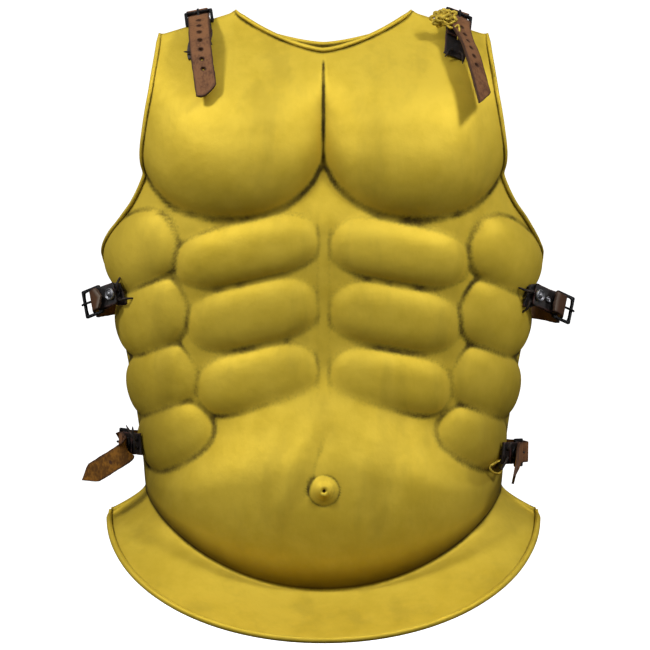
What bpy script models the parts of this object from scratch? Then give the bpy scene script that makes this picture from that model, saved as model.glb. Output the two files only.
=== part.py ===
"""Muscle cuirass: a breastplate and a backplate of raised brass sheet, joined by six buckled leather straps.

Metres, +Z up.  The breastplate faces -Y and +X is to its right as it is looked at.  The origin is on the
middle plane at the height of the shoulder edges, midway between the two plates' shoulders.
"""
import math

import bmesh
import bpy
from mathutils import Matrix, Vector

for old in list(bpy.data.objects):
    bpy.data.objects.remove(old, do_unlink=True)

# ---------------------------------------------------------------- driving dimensions (metres)
SHEET = 0.0014            # brass sheet
BEAD = 0.0042             # rolled edge, thickness over the roll
SQUARENESS = 2.3          # exponent of the body's cross-section
EDGE_SHARE = 0.9985       # how far round a side edge reaches, as a share of the half width

# The trunk that both plates are raised to, one row for each level.
#           height, half width, depth in front, depth behind
TRUNK = (
    (0.010, 0.1980, 0.046, 0.044),
    (-0.045, 0.1990, 0.081, 0.078),
    (-0.100, 0.2000, 0.104, 0.106),
    (-0.160, 0.2005, 0.116, 0.124),
    (-0.220, 0.2005, 0.118, 0.128),
    (-0.280, 0.1890, 0.112, 0.118),
    (-0.340, 0.1775, 0.108, 0.106),
    (-0.400, 0.1685, 0.110, 0.099),
    (-0.450, 0.1640, 0.110, 0.101),
    (-0.530, 0.1600, 0.104, 0.108),
)

# The side of a plate from armpit to shoulder: the armhole, one row for each level.
#          height, distance from the middle plane
ARMHOLE = (
    (-0.2208, 0.2002),
    (-0.2135, 0.2000),
    (-0.1990, 0.1925),
    (-0.1850, 0.1830),
    (-0.1710, 0.1720),
    (-0.1500, 0.1616),
    (-0.1290, 0.1557),
    (-0.1070, 0.1510),
    (-0.0780, 0.1473),
    (-0.0215, 0.1490),
)
ARMPIT_Z = -0.2208
SHOULDER_X = 0.1490       # outer end of a shoulder edge
SHOULDER_Z = -0.0215
NECK_X = 0.0810           # inner end of a shoulder edge, where the neckline starts
NECK_Z = 0.0015
NECK_DROP_FRONT = 0.0448
NECK_DROP_BACK = 0.0180
CREASE_Z = -0.4330        # where the flare starts at the side edges
CREASE_DROP = 0.0870      # how much lower it starts at the middle
RIM_X = 0.1980
RIM_DEPTH_FRONT = 0.1780
RIM_DEPTH_BACK = 0.1520
RIM_Z = -0.4560
RIM_DROP = 0.1040

# Raised muscles of the breastplate: a row for each, its middle, half sizes, turn and rise.
#            x,       z,      half width, half height, turn (degrees), rise
BELLY_MUSCLES = (
    (-0.0664, -0.2192, 0.0676, 0.0290, 12.5, 0.0135),
    (0.0662, -0.2204, 0.0645, 0.0290, -10.0, 0.0135),
    (-0.0618, -0.2744, 0.0622, 0.0312, 12.5, 0.0130),
    (0.0628, -0.2767, 0.0616, 0.0315, -10.0, 0.0130),
    (-0.0574, -0.3327, 0.0580, 0.0308, 13.0, 0.0130),
    (0.0584, -0.3347, 0.0580, 0.0304, -10.0, 0.0130),
)
SIDE_MUSCLES = (
    (-0.1655, -0.2190, 0.0390, 0.0335, 38.0, 0.0100),
    (0.1650, -0.2230, 0.0390, 0.0320, -38.0, 0.0100),
    (-0.1545, -0.2775, 0.0400, 0.0335, 32.0, 0.0110),
    (0.1545, -0.2785, 0.0390, 0.0335, -32.0, 0.0110),
    (-0.1450, -0.3345, 0.0390, 0.0335, 32.0, 0.0110),
    (0.1460, -0.3360, 0.0385, 0.0330, -32.0, 0.0110),
    (-0.1320, -0.3850, 0.0385, 0.0325, 25.0, 0.0125),
    (0.1325, -0.3860, 0.0355, 0.0305, -25.0, 0.0105),
)
# How blunt a muscle's outline is along and across it: 2 is an oval, more is squarer.
BELLY_BLUNTNESS = (3.6, 2.4)
SIDE_BLUNTNESS = (2.4, 2.4)
BACK_BLUNTNESS = (2.6, 2.6)
ROUNDNESS = 0.55          # of a muscle's flanks: 0.5 is a half round, 1 slopes gently
FLANK_FOOT = 0.03         # keeps the foot of a flank short of upright
WEB = 0.0058              # height of the web between the muscles of the belly
PEC_X = 0.0818
PEC_Z = -0.0950
PEC_HALF = (0.0872, 0.0985)
PEC_RISE = 0.0270
PEC_PLATEAU = 0.80        # share of the rise that the upper chest keeps
PEC_SPREAD = 1.7          # how much further a breast runs up than down
PEC_BLUNTNESS = 2.25      # exponent of its outline: 2 is an oval, more is squarer
PEC_FULLNESS = (0.30, -0.060, -0.165)  # how much fuller its lower part is, and from where to where
BELLY_RISE = 0.0250
BELLY_TOP = (-0.318, 0.170)  # where it passes under the muscles, and how much lower it starts at the sides
BELLY_SQUARING = 0.45     # how much less than a parabola that upper edge sags near the sides
BELLY_CROWN = 0.50        # where it stands out most, as a share of the way up
BELLY_TUCK = (2.2, 0.6)   # how it curves in below that
NAVEL = (0.0005, -0.4310)
NAVEL_RADIUS = 0.0110
NAVEL_RISE = 0.0060
NAVEL_TAPER = 1.6         # how quickly it thins out towards that radius

# The backplate's shoulder blades, one of a mirrored pair, and the furrow down the spine.
SHOULDER_BLADE = (0.080, -0.130, 0.070, 0.085, 20.0, 0.008)
SPINE_HALF_WIDTH = 0.0140
SPINE_DEPTH = 0.0060

# Columns across and rows up each plate, and rows down its flare.
FRONT_GRID = (36, 34, 4)
BACK_GRID = (18, 18, 3)
EDGE_STEP = 0.010         # the narrow first and last step of a grid, which carry the rolled edge
ROLL_STEP = 0.06          # the same for the rim of the flare, as a share of its depth

# Straps, buckles, rivets and laces.
GAP = 0.0004              # air left between touching pieces
STAND_OFF = 0.0012        # more air under a strap, which stays flat on a rounded plate
STRAP_WIDTH = 0.0195
STRAP_THICK = 0.0024
STRAP_POINT = 0.0080      # length of a strap's pointed end
CHAPE_WIDTH = 0.0200
CHAPE_THICK = 0.0018
CHAPE_SEAT = 0.0060       # how far a chape runs on past its lace
CHAPE_SLOT = 0.0122       # length of the slot in its fold that the tongue comes out of
FRAME_LENGTH = 0.0245     # outside, along the strap
FRAME_WIDTH = 0.0262      # outside, across the strap
FRAME_BAR = 0.0027
FRAME_SOFTENING = 0.0004
OUTER_BAR = FRAME_LENGTH - FRAME_BAR
TONGUE_RADIUS = 0.0011
TONGUE_SLOT = 0.0042      # width of the slots and holes that a tongue goes through
STRAP_HOLE = 0.0090       # length of the hole that the tongue is in
RIVET_HEAD = 0.0056
RIVET_SHANK = 0.0014
RIVET_BURR = 0.0008       # thickness of the end that holds a rivet
BURR_SPREAD = 1.6         # its radius, as a share of the shank's
# Half the outline of a rivet's head: distance from its axis and height, as shares of its radius.
RIVET_DOME = ((0.0, 0.52), (0.45, 0.44), (1.0, 0.06), (1.0, 0.0))
DRILL_REACH = 0.012       # how far a hole's cutter reaches past the surface it goes through
LACE_RADIUS = 0.0012
LACE_SPREAD = 0.0036      # from the middle of a chape to each of its lace holes

# How a chape, a tongue and a strap run past the pivot bar: along the strap, and out from the body.
CHAPE_FOLD = (
    (-0.0105, -0.0014), (-0.0060, -0.0025), (-0.0010, -0.0033), (0.0024, -0.0023), (0.0033, 0.0000),
    (0.0024, 0.0023), (-0.0010, 0.0033), (-0.0060, 0.0025), (-0.0105, 0.0014),
)
CHAPE_LAYER = 0.0012      # from the middle of a closed chape to the middle of each layer
RIVET_ROOM = 0.0030       # how far its two layers lie flat on each side of the last rivet
CHAPE_END = 0.0058        # how far its upper layer runs on past that rivet
TONGUE_PATH = (
    (-0.0012, 0.0033), (-0.0031, 0.0018), (-0.0034, -0.0006), (-0.0016, -0.0031), (0.0016, -0.0030),
    (0.0040, -0.0006), (0.0064, 0.0004), (0.0098, 0.0018), (0.0130, 0.0028), (0.0218, 0.0028),
    (0.0238, 0.0024),
)
STRAP_PATH = ((0.0300, -0.0044), (0.0230, -0.0038), (0.0180, -0.0022), (0.0100, 0.0018), (0.0000, 0.0064))
# The same for the two upper side straps, which come up steeply inside the frame.
STEEP_PATH = (
    (0.0185, -0.0090),
    (0.0100, 0.0018),
    (0.0000, 0.0064),
)
OVER_RIVET = (-0.0130, 0.0078)     # the next place of a strap whose tail runs on
SHORT_TAIL = (-0.0080, 0.0070)     # the last place of one that ends there

# The six buckles.
#   pivot    middle of the pivot bar
#   along    the way the frame runs from there
#   outward  the way it faces
#   rivets   from the pivot bar back along the chape
#   seat     where the chape is laced to the breastplate (x, z)
#   lift     the air that the muscles leave under the chape there
#   tail     where the strap's free end lies: places, each with the way across the strap
#   bridge   how the strap crosses the gap between the plates, in the same form
#   anchor   where the strap lies on the backplate (x, z)
BUCKLES = {
    "left_shoulder": {
        "pivot": (-0.1126, -0.0635, -0.0105), "along": (-0.10, 0.82, 0.56), "outward": (-0.16, -0.56, 0.81),
        "lift": 0.0030, "rivets": (0.0165,), "seat": (-0.1105, -0.0430),
        "tail": (
            ((-0.1112, -0.0960, -0.0255), (0.99, 0.0, 0.14)),
            ((-0.1085, -0.1100, -0.0470), (0.99, 0.0, 0.12)),
            ((-0.1030, -0.1270, -0.0820), (0.99, 0.0, 0.10)),
        ),
        "bridge": (
            ((-0.1180, -0.0120, 0.0070), (1, 0, 0.2)),
            ((-0.1180, 0.0200, 0.0060), (1, 0, 0.2)),
            ((-0.1180, 0.0480, 0.0015), (1, 0, 0.1)),
        ),
        "anchor": ((-0.1180, -0.0320), (-0.1180, -0.0600)),
    },
    "right_shoulder": {
        "pivot": (0.1221, -0.0630, -0.0120), "along": (0.10, 0.80, 0.59), "outward": (0.38, -0.52, 0.76),
        "lift": 0.0030, "rivets": (0.0165,), "seat": (0.1160, -0.0440),
        "tail": (
            ((0.1275, -0.0890, -0.0260), (0.80, 0.42, -0.40)),
            ((0.1335, -0.1060, -0.0440), (0.74, 0.62, -0.24)),
            ((0.1445, -0.1320, -0.0920), (0.72, 0.66, -0.20)),
        ),
        "bridge": (
            ((0.1260, -0.0120, 0.0060), (1, 0.1, -0.3)),
            ((0.1240, 0.0200, 0.0060), (1, 0, -0.2)),
            ((0.1200, 0.0480, 0.0015), (1, 0, -0.1)),
        ),
        "anchor": ((0.1180, -0.0320), (0.1180, -0.0600)),
    },
    "upper_left": {
        "pivot": (-0.2040, -0.0490, -0.2610), "along": (-0.70, 0.66, -0.25), "outward": (-0.66, -0.75, 0.00),
        "lift": 0.0053, "rivets": (0.0165,), "seat": (-0.1776, -0.2555),
        "tail": (),
        "bridge": (
            ((-0.2110, -0.0120, -0.2665), (-0.2, 0.1, 1)),
            ((-0.2120, 0.0100, -0.2680), (0, 0, 1)),
            ((-0.2075, 0.0310, -0.2670), (0, 0, 1)),
            ((-0.1985, 0.0450, -0.2650), (0, 0, 1)),
        ),
        "anchor": ((-0.1850, -0.2630), (-0.1660, -0.2600)),
    },
    "upper_right": {
        "pivot": (0.2137, -0.0360, -0.2655), "along": (0.70, 0.65, -0.29), "outward": (0.68, -0.73, 0.00),
        "lift": 0.0063, "rivets": (0.0260, 0.0140), "seat": (0.1796, -0.2575),
        "tail": (),
        "bridge": (
            ((0.2200, -0.0010, -0.2720), (0.2, 0.1, 1)),
            ((0.2205, 0.0160, -0.2735), (0, 0, 1)),
            ((0.2125, 0.0335, -0.2715), (0, 0, 1)),
            ((0.2010, 0.0450, -0.2690), (0, 0, 1)),
        ),
        "anchor": ((0.1850, -0.2660), (0.1660, -0.2630)),
    },
    "lower_left": {
        "pivot": (-0.1830, -0.0147, -0.3942), "along": (-0.34, 0.94, 0.00), "outward": (-0.94, -0.34, 0.05),
        "lift": 0.0020, "rivets": (0.0165,), "seat": (-0.1585, -0.3925),
        "tail": (
            ((-0.1850, -0.0330, -0.3955), (0.0, 0.2, 1.0)),
            ((-0.1815, -0.0410, -0.3985), (-0.3, 0.2, 0.9)),
            ((-0.1820, -0.0450, -0.4020), (-0.5, 0.1, 0.85)),
            ((-0.1900, -0.0475, -0.4075), (-0.56, 0.0, 0.82)),
            ((-0.2214, -0.0480, -0.4271), (-0.56, 0.0, 0.82)),
        ),
        "bridge": (((-0.1900, 0.0150, -0.3940), (0, 0, 1)), ((-0.1790, 0.0290, -0.3940), (0, 0, 1))),
        "anchor": ((-0.1600, -0.3945), (-0.1430, -0.3960)),
    },
    "lower_right": {
        "pivot": (0.1779, -0.0175, -0.4035), "along": (0.33, 0.94, -0.03), "outward": (0.94, -0.33, 0.00),
        "lift": 0.0035, "rivets": (0.0165,), "seat": (0.1560, -0.4010),
        "tail": (
            ((0.1785, -0.0430, -0.4080), (0.05, 0.2, 0.98)),
            ((0.1755, -0.0620, -0.4130), (0.16, 0.25, 0.95)),
            ((0.1712, -0.1000, -0.4205), (0.24, 0.25, 0.93)),
        ),
        "bridge": (((0.1915, 0.0150, -0.4040), (0, 0, 1)), ((0.1800, 0.0290, -0.4030), (0, 0, 1))),
        "anchor": ((0.1600, -0.4020), (0.1430, -0.4020)),
    },
}

# A lace through its two holes, in the chape's own directions: towards the middle of the plate, across, out.
LACE_PATH = (
    (0.0150, 0.0090, 0.0050), (0.0080, 0.0060, 0.0056), (0.0010, 0.0038, 0.0048), (0.0000, 0.0036, 0.0016),
    (0.0000, 0.0036, -0.0036), (0.0000, 0.0000, -0.0050), (0.0000, -0.0036, -0.0036),
    (0.0000, -0.0036, 0.0016), (0.0010, -0.0038, 0.0048), (0.0080, -0.0050, 0.0056),
    (0.0160, -0.0120, 0.0050),
)
LACE_END = 0.0040         # points of the lace further out than this lie on top of the chape


# ---------------------------------------------------------------- the trunk and its muscles
def interpolate(table, level):
    """The other columns of a table at a level, on a smooth curve through its rows."""
    rows = sorted(table)
    if level <= rows[0][0]:
        return rows[0][1:]
    if level >= rows[-1][0]:
        return rows[-1][1:]
    index = max(i for i in range(len(rows) - 1) if rows[i][0] <= level)
    low, high = rows[index], rows[index + 1]
    span = high[0] - low[0]
    before = rows[max(index - 1, 0)]
    after = rows[min(index + 2, len(rows) - 1)]
    t = (level - low[0]) / span
    values = []
    for a, b, c, d in zip(before[1:], low[1:], high[1:], after[1:]):
        start = (c - a) / (high[0] - before[0]) * span
        end = (d - b) / (after[0] - low[0]) * span
        values.append((2 * t**3 - 3 * t**2 + 1) * b + (t**3 - 2 * t**2 + t) * start
                      + (3 * t**2 - 2 * t**3) * c + (t**3 - t**2) * end)
    return values


def smooth(edge_a, edge_b, value):
    t = min(max((value - edge_a) / (edge_b - edge_a), 0.0), 1.0)
    return t * t * (3 - 2 * t)


def trunk_depth(x, z, back):
    """How far the trunk stands out in front of, or behind, the middle of the body at this place."""
    half_width, front, behind = interpolate(TRUNK, z)
    share = min(abs(x) / half_width, 0.9999)
    return (behind if back else front) * (1 - share**SQUARENESS) ** (1 / SQUARENESS)


def crease_height(share):
    return CREASE_Z - CREASE_DROP * (1 - min(abs(share), 1.0) ** 2) ** 0.75


def flank(radius):
    """The height of a dome from 1 at its middle to 0 at its edge, steep there but not upright."""
    core = min(max(1 - radius, 0.0), 1.0)
    foot = FLANK_FOOT**ROUNDNESS
    return ((core + FLANK_FOOT) ** ROUNDNESS - foot) / ((1 + FLANK_FOOT) ** ROUNDNESS - foot)


def dome(x, z, muscle, bluntness):
    """Height of one rounded muscle: steep at its edge, nearly flat on top."""
    centre_x, centre_z, half_x, half_z, turn, rise = muscle
    angle = math.radians(turn)
    dx, dz = x - centre_x, z - centre_z
    along = abs(dx * math.cos(angle) + dz * math.sin(angle)) / half_x
    across = abs(dz * math.cos(angle) - dx * math.sin(angle)) / half_z
    return rise * flank(along ** bluntness[0] + across ** bluntness[1])


def pectoral(x, z):
    """The chest: two round domes with a groove between, which fade into one plateau towards the neck."""
    half_x, half_z = PEC_HALF
    aside = abs(abs(x) - PEC_X) / half_x
    drop = abs(z - PEC_Z) / (half_z if z < PEC_Z else PEC_SPREAD * half_z)
    fuller, full_top, full_low = PEC_FULLNESS
    domed = flank(aside**PEC_BLUNTNESS + drop**PEC_BLUNTNESS) * (1 + fuller * smooth(full_top, full_low, z))
    fade = smooth(-0.045, -0.120, z)
    return PEC_RISE * (PEC_PLATEAU + (domed - PEC_PLATEAU) * fade) * smooth(0.0, -0.095, z)


def belly(x, z):
    """The belly: it swells from under the muscles to its crown, and tucks in where the flare begins."""
    share = min(abs(x) / interpolate(TRUNK, z)[0], 1.0)
    low = crease_height(share)
    top, sag = BELLY_TOP
    up = (z - low) / (top - sag * share**2 * (1 - BELLY_SQUARING * share**2) - low)
    if not 0 < up < 1:
        return 0.0
    curve, lift = BELLY_TUCK
    tucked = (1 - max(1 - up / BELLY_CROWN, 0.0) ** curve) ** lift
    swell = tucked if up < BELLY_CROWN else smooth(1.0, BELLY_CROWN, up)
    return BELLY_RISE * swell * (1 - share**3)


def relief(x, z):
    """How far the breastplate stands out from the plain trunk."""
    web = WEB * smooth(-0.155, -0.200, z) * smooth(0.145, 0.110, abs(x)) * smooth(-0.400, -0.340, z)
    heights = [dome(x, z, muscle, BELLY_BLUNTNESS) for muscle in BELLY_MUSCLES]
    heights += [dome(x, z, muscle, SIDE_BLUNTNESS) for muscle in SIDE_MUSCLES]
    heights += [pectoral(x, z), web + belly(x, z)]
    merged = sum(height**6 for height in heights) ** (1 / 6)
    navel = math.dist((x, z), NAVEL) / NAVEL_RADIUS
    return merged + NAVEL_RISE * math.exp(-NAVEL_TAPER * navel**2)


def back_relief(x, z):
    """The backplate's modelling: shoulder blades, and a shallow furrow down the spine."""
    furrow = math.exp(-(x / SPINE_HALF_WIDTH) ** 2) * smooth(-0.03, -0.09, z) * smooth(-0.50, -0.40, z)
    return dome(abs(x), z, SHOULDER_BLADE, BACK_BLUNTNESS) - SPINE_DEPTH * furrow


def plate_point(x, z, back=False):
    """A point on the plate's middle surface, and the direction it faces."""
    step = 0.0006
    sign = 1 if back else -1

    def depth(at_x, at_z):
        return trunk_depth(at_x, at_z, back)

    slope_x = (depth(x + step, z) - depth(x - step, z)) / (2 * step)
    slope_z = (depth(x, z + step) - depth(x, z - step)) / (2 * step)
    facing = Vector((-slope_x, sign, -slope_z)).normalized()
    lift = back_relief(x, z) if back else relief(x, z)
    return Vector((x, sign * depth(x, z), z)) + facing * lift, facing


def plate_outline(across, up, back):
    """Where a grid point of the plate lies on the trunk: across -1..1, up 0 (crease) to 1 (shoulder)."""
    edge_z = CREASE_Z + (SHOULDER_Z - CREASE_Z) * up
    if edge_z < ARMPIT_Z:
        edge_x = interpolate(TRUNK, edge_z)[0] * EDGE_SHARE
    else:
        edge_x = min(interpolate(ARMHOLE, edge_z)[0], interpolate(TRUNK, edge_z)[0] * EDGE_SHARE)
    turn = math.asin(min(edge_x / interpolate(TRUNK, edge_z)[0], EDGE_SHARE))
    share = math.sin(across * turn) / math.sin(turn)
    x = edge_x * share
    if abs(x) < NECK_X:
        drop = NECK_DROP_BACK if back else NECK_DROP_FRONT
        top = NECK_Z - drop * (1 - (abs(x) / NECK_X) ** 1.5)
    else:
        top = NECK_Z + (SHOULDER_Z - NECK_Z) * (abs(x) - NECK_X) / (SHOULDER_X - NECK_X)
    sag = crease_height(share) - CREASE_Z
    return x, edge_z + sag * (1 - up) + (top - SHOULDER_Z) * up**3


def flare_point(across, down, back):
    """A point of the flare, which turns out from the crease (down 0) to the rim (down 1)."""
    x, z = plate_outline(across, 0.0, back)
    start, _ = plate_point(x, z, back)
    share = math.sin(across * math.pi / 2)
    sign, depth = (1, RIM_DEPTH_BACK) if back else (-1, RIM_DEPTH_FRONT)
    reach = (1 - min(abs(share), EDGE_SHARE) ** SQUARENESS) ** (1 / SQUARENESS)
    rim = Vector((RIM_X * share, sign * depth * reach, RIM_Z - RIM_DROP * math.sqrt(1 - min(share**2, 1.0))))
    out, fall = down**1.25, down**0.85
    return Vector((start.x + (rim.x - start.x) * out, start.y + (rim.y - start.y) * out,
                   start.z + (rim.z - start.z) * fall))


# ---------------------------------------------------------------- making pieces
def material(name, colour, roughness, metallic):
    made = bpy.data.materials.new(name)
    made.use_nodes = True
    shader = made.node_tree.nodes["Principled BSDF"]
    shader.inputs["Base Color"].default_value = (*colour, 1.0)
    shader.inputs["Roughness"].default_value = roughness
    shader.inputs["Metallic"].default_value = metallic
    return made


def add_object(name, mesh, finish, smooth_shaded=True):
    piece = bpy.data.objects.new(name, mesh)
    bpy.context.scene.collection.objects.link(piece)
    mesh.materials.append(finish)
    if smooth_shaded:
        mesh.shade_smooth()
    return piece


def to_mesh(name, shape):
    mesh = bpy.data.meshes.new(name)
    shape.to_mesh(mesh)
    shape.free()
    return mesh


def cut(piece, name, shape):
    """Takes a closed shape away from a piece."""
    cutter = bpy.data.objects.new(name, to_mesh(name, shape))
    bpy.context.scene.collection.objects.link(cutter)
    cutter.hide_render = True
    cutter.display_type = "WIRE"
    modifier = piece.modifiers.new(name, "BOOLEAN")
    modifier.object = cutter
    modifier.operation = "DIFFERENCE"


def facing_matrix(origin, along, outward):
    """Local x runs along the strap, y across it, z away from the body."""
    x_axis = Vector(along).normalized()
    z_axis = (Vector(outward) - x_axis * Vector(outward).dot(x_axis)).normalized()
    y_axis = z_axis.cross(x_axis)
    turn = Matrix((x_axis, y_axis, z_axis)).transposed().to_4x4()
    return Matrix.Translation(Vector(origin)) @ turn


def spaced(index, count):
    """Grid stations 0..1 with a narrow first and last step, which the rolled edge needs."""
    if index == 0:
        return 0.0
    if index == count:
        return 1.0
    return EDGE_STEP + (1 - 2 * EDGE_STEP) * (index - 1) / (count - 2)


def make_plate(name, finish, grid, back):
    """A plate: a grid laid on the trunk and the flare, given the sheet's thickness and thick rolled edges."""
    columns, rows, flare_rows = grid
    shape = bmesh.new()
    bmesh.ops.create_grid(shape, x_segments=columns, y_segments=rows + flare_rows, size=1.0)
    shape.verts.ensure_lookup_table()
    rolled = []
    for vert in shape.verts:
        column = round((vert.co.x + 1) / 2 * columns)
        row = round((vert.co.y + 1) / 2 * (rows + flare_rows)) - flare_rows
        across = 2 * spaced(column, columns) - 1
        if row < 0:
            down = 1.0 if row == -flare_rows else (1 - ROLL_STEP) * -row / (flare_rows - 1)
            vert.co = flare_point(across, down, back)
        else:
            up = 1 - spaced(rows - row, rows) if row > 1 else row / rows
            x, z = plate_outline(across, up, back)
            vert.co = plate_point(x, z, back)[0]
        on_armhole = column in (0, columns) and vert.co.z > ARMPIT_Z - 0.002
        on_neck = row == rows and abs(vert.co.x) < NECK_X
        if on_armhole or on_neck or row == -flare_rows:
            rolled.append(vert.index)
    if back:
        bmesh.ops.reverse_faces(shape, faces=shape.faces)
    plate = add_object(name, to_mesh(name, shape), finish)
    group = plate.vertex_groups.new(name="roll")
    group.add(range(len(plate.data.vertices)), SHEET / BEAD, "REPLACE")
    group.add(rolled, 1.0, "REPLACE")
    wall = plate.modifiers.new("sheet", "SOLIDIFY")
    wall.thickness = BEAD
    wall.offset = 0.0
    wall.vertex_group = group.name
    wall.use_even_offset = True
    return plate


def curve_through(points, steps):
    """Points and side directions on a smooth curve through the given stations."""
    made = []
    last = len(points) - 1
    for index in range(last):
        around = (points[max(index - 1, 0)], points[index], points[index + 1], points[min(index + 2, last)])
        for step in range(steps):
            t = step / steps
            weights = ((-t + 2 * t**2 - t**3) / 2, (2 - 5 * t**2 + 3 * t**3) / 2,
                       (t + 4 * t**2 - 3 * t**3) / 2, (t**3 - t**2) / 2)
            place, side = (sum((row[part] * weight for row, weight in zip(around, weights)), Vector())
                           for part in (0, 1))
            made.append((place, side))
    made.append(points[-1])
    return made


def make_ribbon(name, stations, width, thickness, finish, steps=3, columns=4, point=0.0):
    """A flat strip of leather through (place, side direction) stations, with a pointed end if asked."""
    path = curve_through([(Vector(place), Vector(side)) for place, side in stations], steps)
    rows = len(path) - 1
    lengths = [0.0]
    for (a, _), (b, _) in zip(path, path[1:]):
        lengths.append(lengths[-1] + (b - a).length)

    def at(distance):
        index = min(sum(1 for length in lengths[1:] if length <= distance), rows - 1)
        t = (distance - lengths[index]) / (lengths[index + 1] - lengths[index])
        return [path[index][part].lerp(path[index + 1][part], t) for part in (0, 1)]

    shape = bmesh.new()
    bmesh.ops.create_grid(shape, x_segments=columns, y_segments=rows, size=1.0)
    for vert in shape.verts:
        across, row = vert.co.x, round((vert.co.y + 1) / 2 * rows)
        trim = point * abs(across) * (lengths[row] / lengths[-1]) ** 6
        place, side = at(lengths[row] - trim)
        vert.co = place + side.normalized() * (across * width / 2)
    strip = add_object(name, to_mesh(name, shape), finish)
    wall = strip.modifiers.new("thickness", "SOLIDIFY")
    wall.thickness = thickness
    wall.offset = 0.0
    return strip


def rod(radius, start, end, segments=12):
    """A closed round bar between two points."""
    start, end = Vector(start), Vector(end)
    shape = bmesh.new()
    turn = (end - start).to_track_quat("Z", "Y").to_matrix().to_4x4()
    bmesh.ops.create_cone(shape, cap_ends=True, segments=segments, radius1=radius, radius2=radius,
                          depth=(end - start).length, matrix=Matrix.Translation((start + end) / 2) @ turn)
    return shape


def box(size, place, matrix):
    """A block of this size, centred on a place, in the given directions."""
    shape = bmesh.new()
    sized = matrix @ Matrix.Translation(place) @ Matrix.Diagonal((*size, 1))
    bmesh.ops.create_cube(shape, size=1.0, matrix=sized)
    return shape


def make_rivet(name, matrix, head, shank, length, finish):
    """A domed rivet: its head over local z = 0, its shank below, and a small burred end."""
    burr = BURR_SPREAD * shank
    foot = -length - RIVET_BURR
    profile = [(radius * head, height * head) for radius, height in RIVET_DOME]
    profile += [(shank, 0.0), (shank, -length), (burr, -length), (burr, foot), (0.0, foot)]
    shape = bmesh.new()
    verts = [shape.verts.new((radius, 0.0, height)) for radius, height in profile]
    edges = [shape.edges.new(pair) for pair in zip(verts, verts[1:])]
    bmesh.ops.spin(shape, geom=verts + edges, cent=(0, 0, 0), axis=(0, 0, 1), angle=2 * math.pi, steps=10,
                   use_merge=True)
    bmesh.ops.remove_doubles(shape, verts=shape.verts, dist=0.00001)
    bmesh.ops.recalc_face_normals(shape, faces=shape.faces)
    rivet = add_object(name, to_mesh(name, shape), finish)
    rivet.data.set_sharp_from_angle(angle=math.radians(40))
    rivet.matrix_world = matrix
    return rivet


def make_cord(name, points, radius, finish):
    """A round lace through the given points."""
    data = bpy.data.curves.new(name, "CURVE")
    data.dimensions = "3D"
    data.bevel_depth = radius
    data.bevel_resolution = 1
    data.use_fill_caps = True
    spline = data.splines.new("POLY")
    spline.points.add(len(points) - 1)
    for control, place in zip(spline.points, points):
        control.co = (*place, 1.0)
    data.materials.append(finish)
    piece = bpy.data.objects.new(name, data)
    bpy.context.scene.collection.objects.link(piece)
    return piece


def make_frame(name, matrix):
    """The buckle's frame: a flat rectangle of square bar with softened edges."""
    middle = (OUTER_BAR / 2, 0, 0)
    outside = (FRAME_LENGTH, FRAME_WIDTH, FRAME_BAR)
    window = (FRAME_LENGTH - 2 * FRAME_BAR, FRAME_WIDTH - 2 * FRAME_BAR, 3 * FRAME_BAR)
    frame = add_object(name + "_frame", to_mesh(name, box(outside, middle, matrix)), dark_steel, False)
    cut(frame, name + "_window", box(window, middle, matrix))
    softened = frame.modifiers.new("softened", "BEVEL")
    softened.width = FRAME_SOFTENING
    softened.segments = 1
    softened.limit_method = "ANGLE"


def make_chape(name, buckle, matrix, across):
    """A short tab folded round the pivot bar, whose under layer is laced to the breastplate."""
    seat, facing = plate_point(*buckle["seat"])
    seat_across = (across - facing * across.dot(facing)).normalized()
    lift = buckle["lift"]
    rest = seat + facing * (SHEET / 2 + lift + CHAPE_THICK / 2)
    inward = facing.cross(seat_across).normalized()
    if inward.dot(matrix.to_3x3() @ Vector((1, 0, 0))) > 0:
        inward = -inward
    furthest = -max(buckle["rivets"])
    layered = [matrix @ Vector((x, 0, z)) for x, z in CHAPE_FOLD]
    under = [matrix @ Vector((furthest + shift, 0, -CHAPE_LAYER)) for shift in (-RIVET_ROOM, RIVET_ROOM)]
    over = [matrix @ Vector((furthest + shift, 0, CHAPE_LAYER)) for shift in (RIVET_ROOM, -CHAPE_END)]
    stations = [(rest + inward * CHAPE_SEAT, seat_across), (rest, seat_across)]
    stations += [(place, across) for place in under + layered + over]
    chape = make_ribbon(name + "_chape", stations, CHAPE_WIDTH, CHAPE_THICK, dark_leather, steps=1, columns=2)
    slot = (CHAPE_SLOT, TONGUE_SLOT, 5 * STRAP_THICK)
    cut(chape, name + "_tongue_slot", box(slot, (0.0004, 0, 0), matrix))
    for number, back in enumerate(buckle["rivets"]):
        top = CHAPE_LAYER + CHAPE_THICK / 2 + 2 * GAP
        place = matrix @ Matrix.Translation((-back, 0, top))
        head = RIVET_HEAD if number == 0 else RIVET_HEAD / 2
        make_rivet(f"{name}_rivet_{number + 1}", place, head, RIVET_SHANK, 2 * top, dark_steel)
        cut(chape, f"{name}_rivet_hole_{number + 1}",
            rod(RIVET_SHANK + GAP, place @ Vector((0, 0, DRILL_REACH / 2)),
                place @ Vector((0, 0, -DRILL_REACH)), 8))
    for side in (-1, 1):
        hole = seat + seat_across * (side * LACE_SPREAD)
        for piece in (chape, breastplate):
            cut(piece, f"{name}_lace_hole_{side}_{piece.name}",
                rod(LACE_RADIUS + 2 * GAP, hole - facing * DRILL_REACH / 2,
                    hole + facing * (lift + DRILL_REACH / 2), 8))
    lace = []
    for toward_middle, sideways, out in LACE_PATH:
        height = out + lift if out > LACE_END else out
        lace.append(seat + inward * toward_middle + seat_across * sideways + facing * height)
    make_cord(name + "_lace", lace, LACE_RADIUS, dark_leather)


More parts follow.
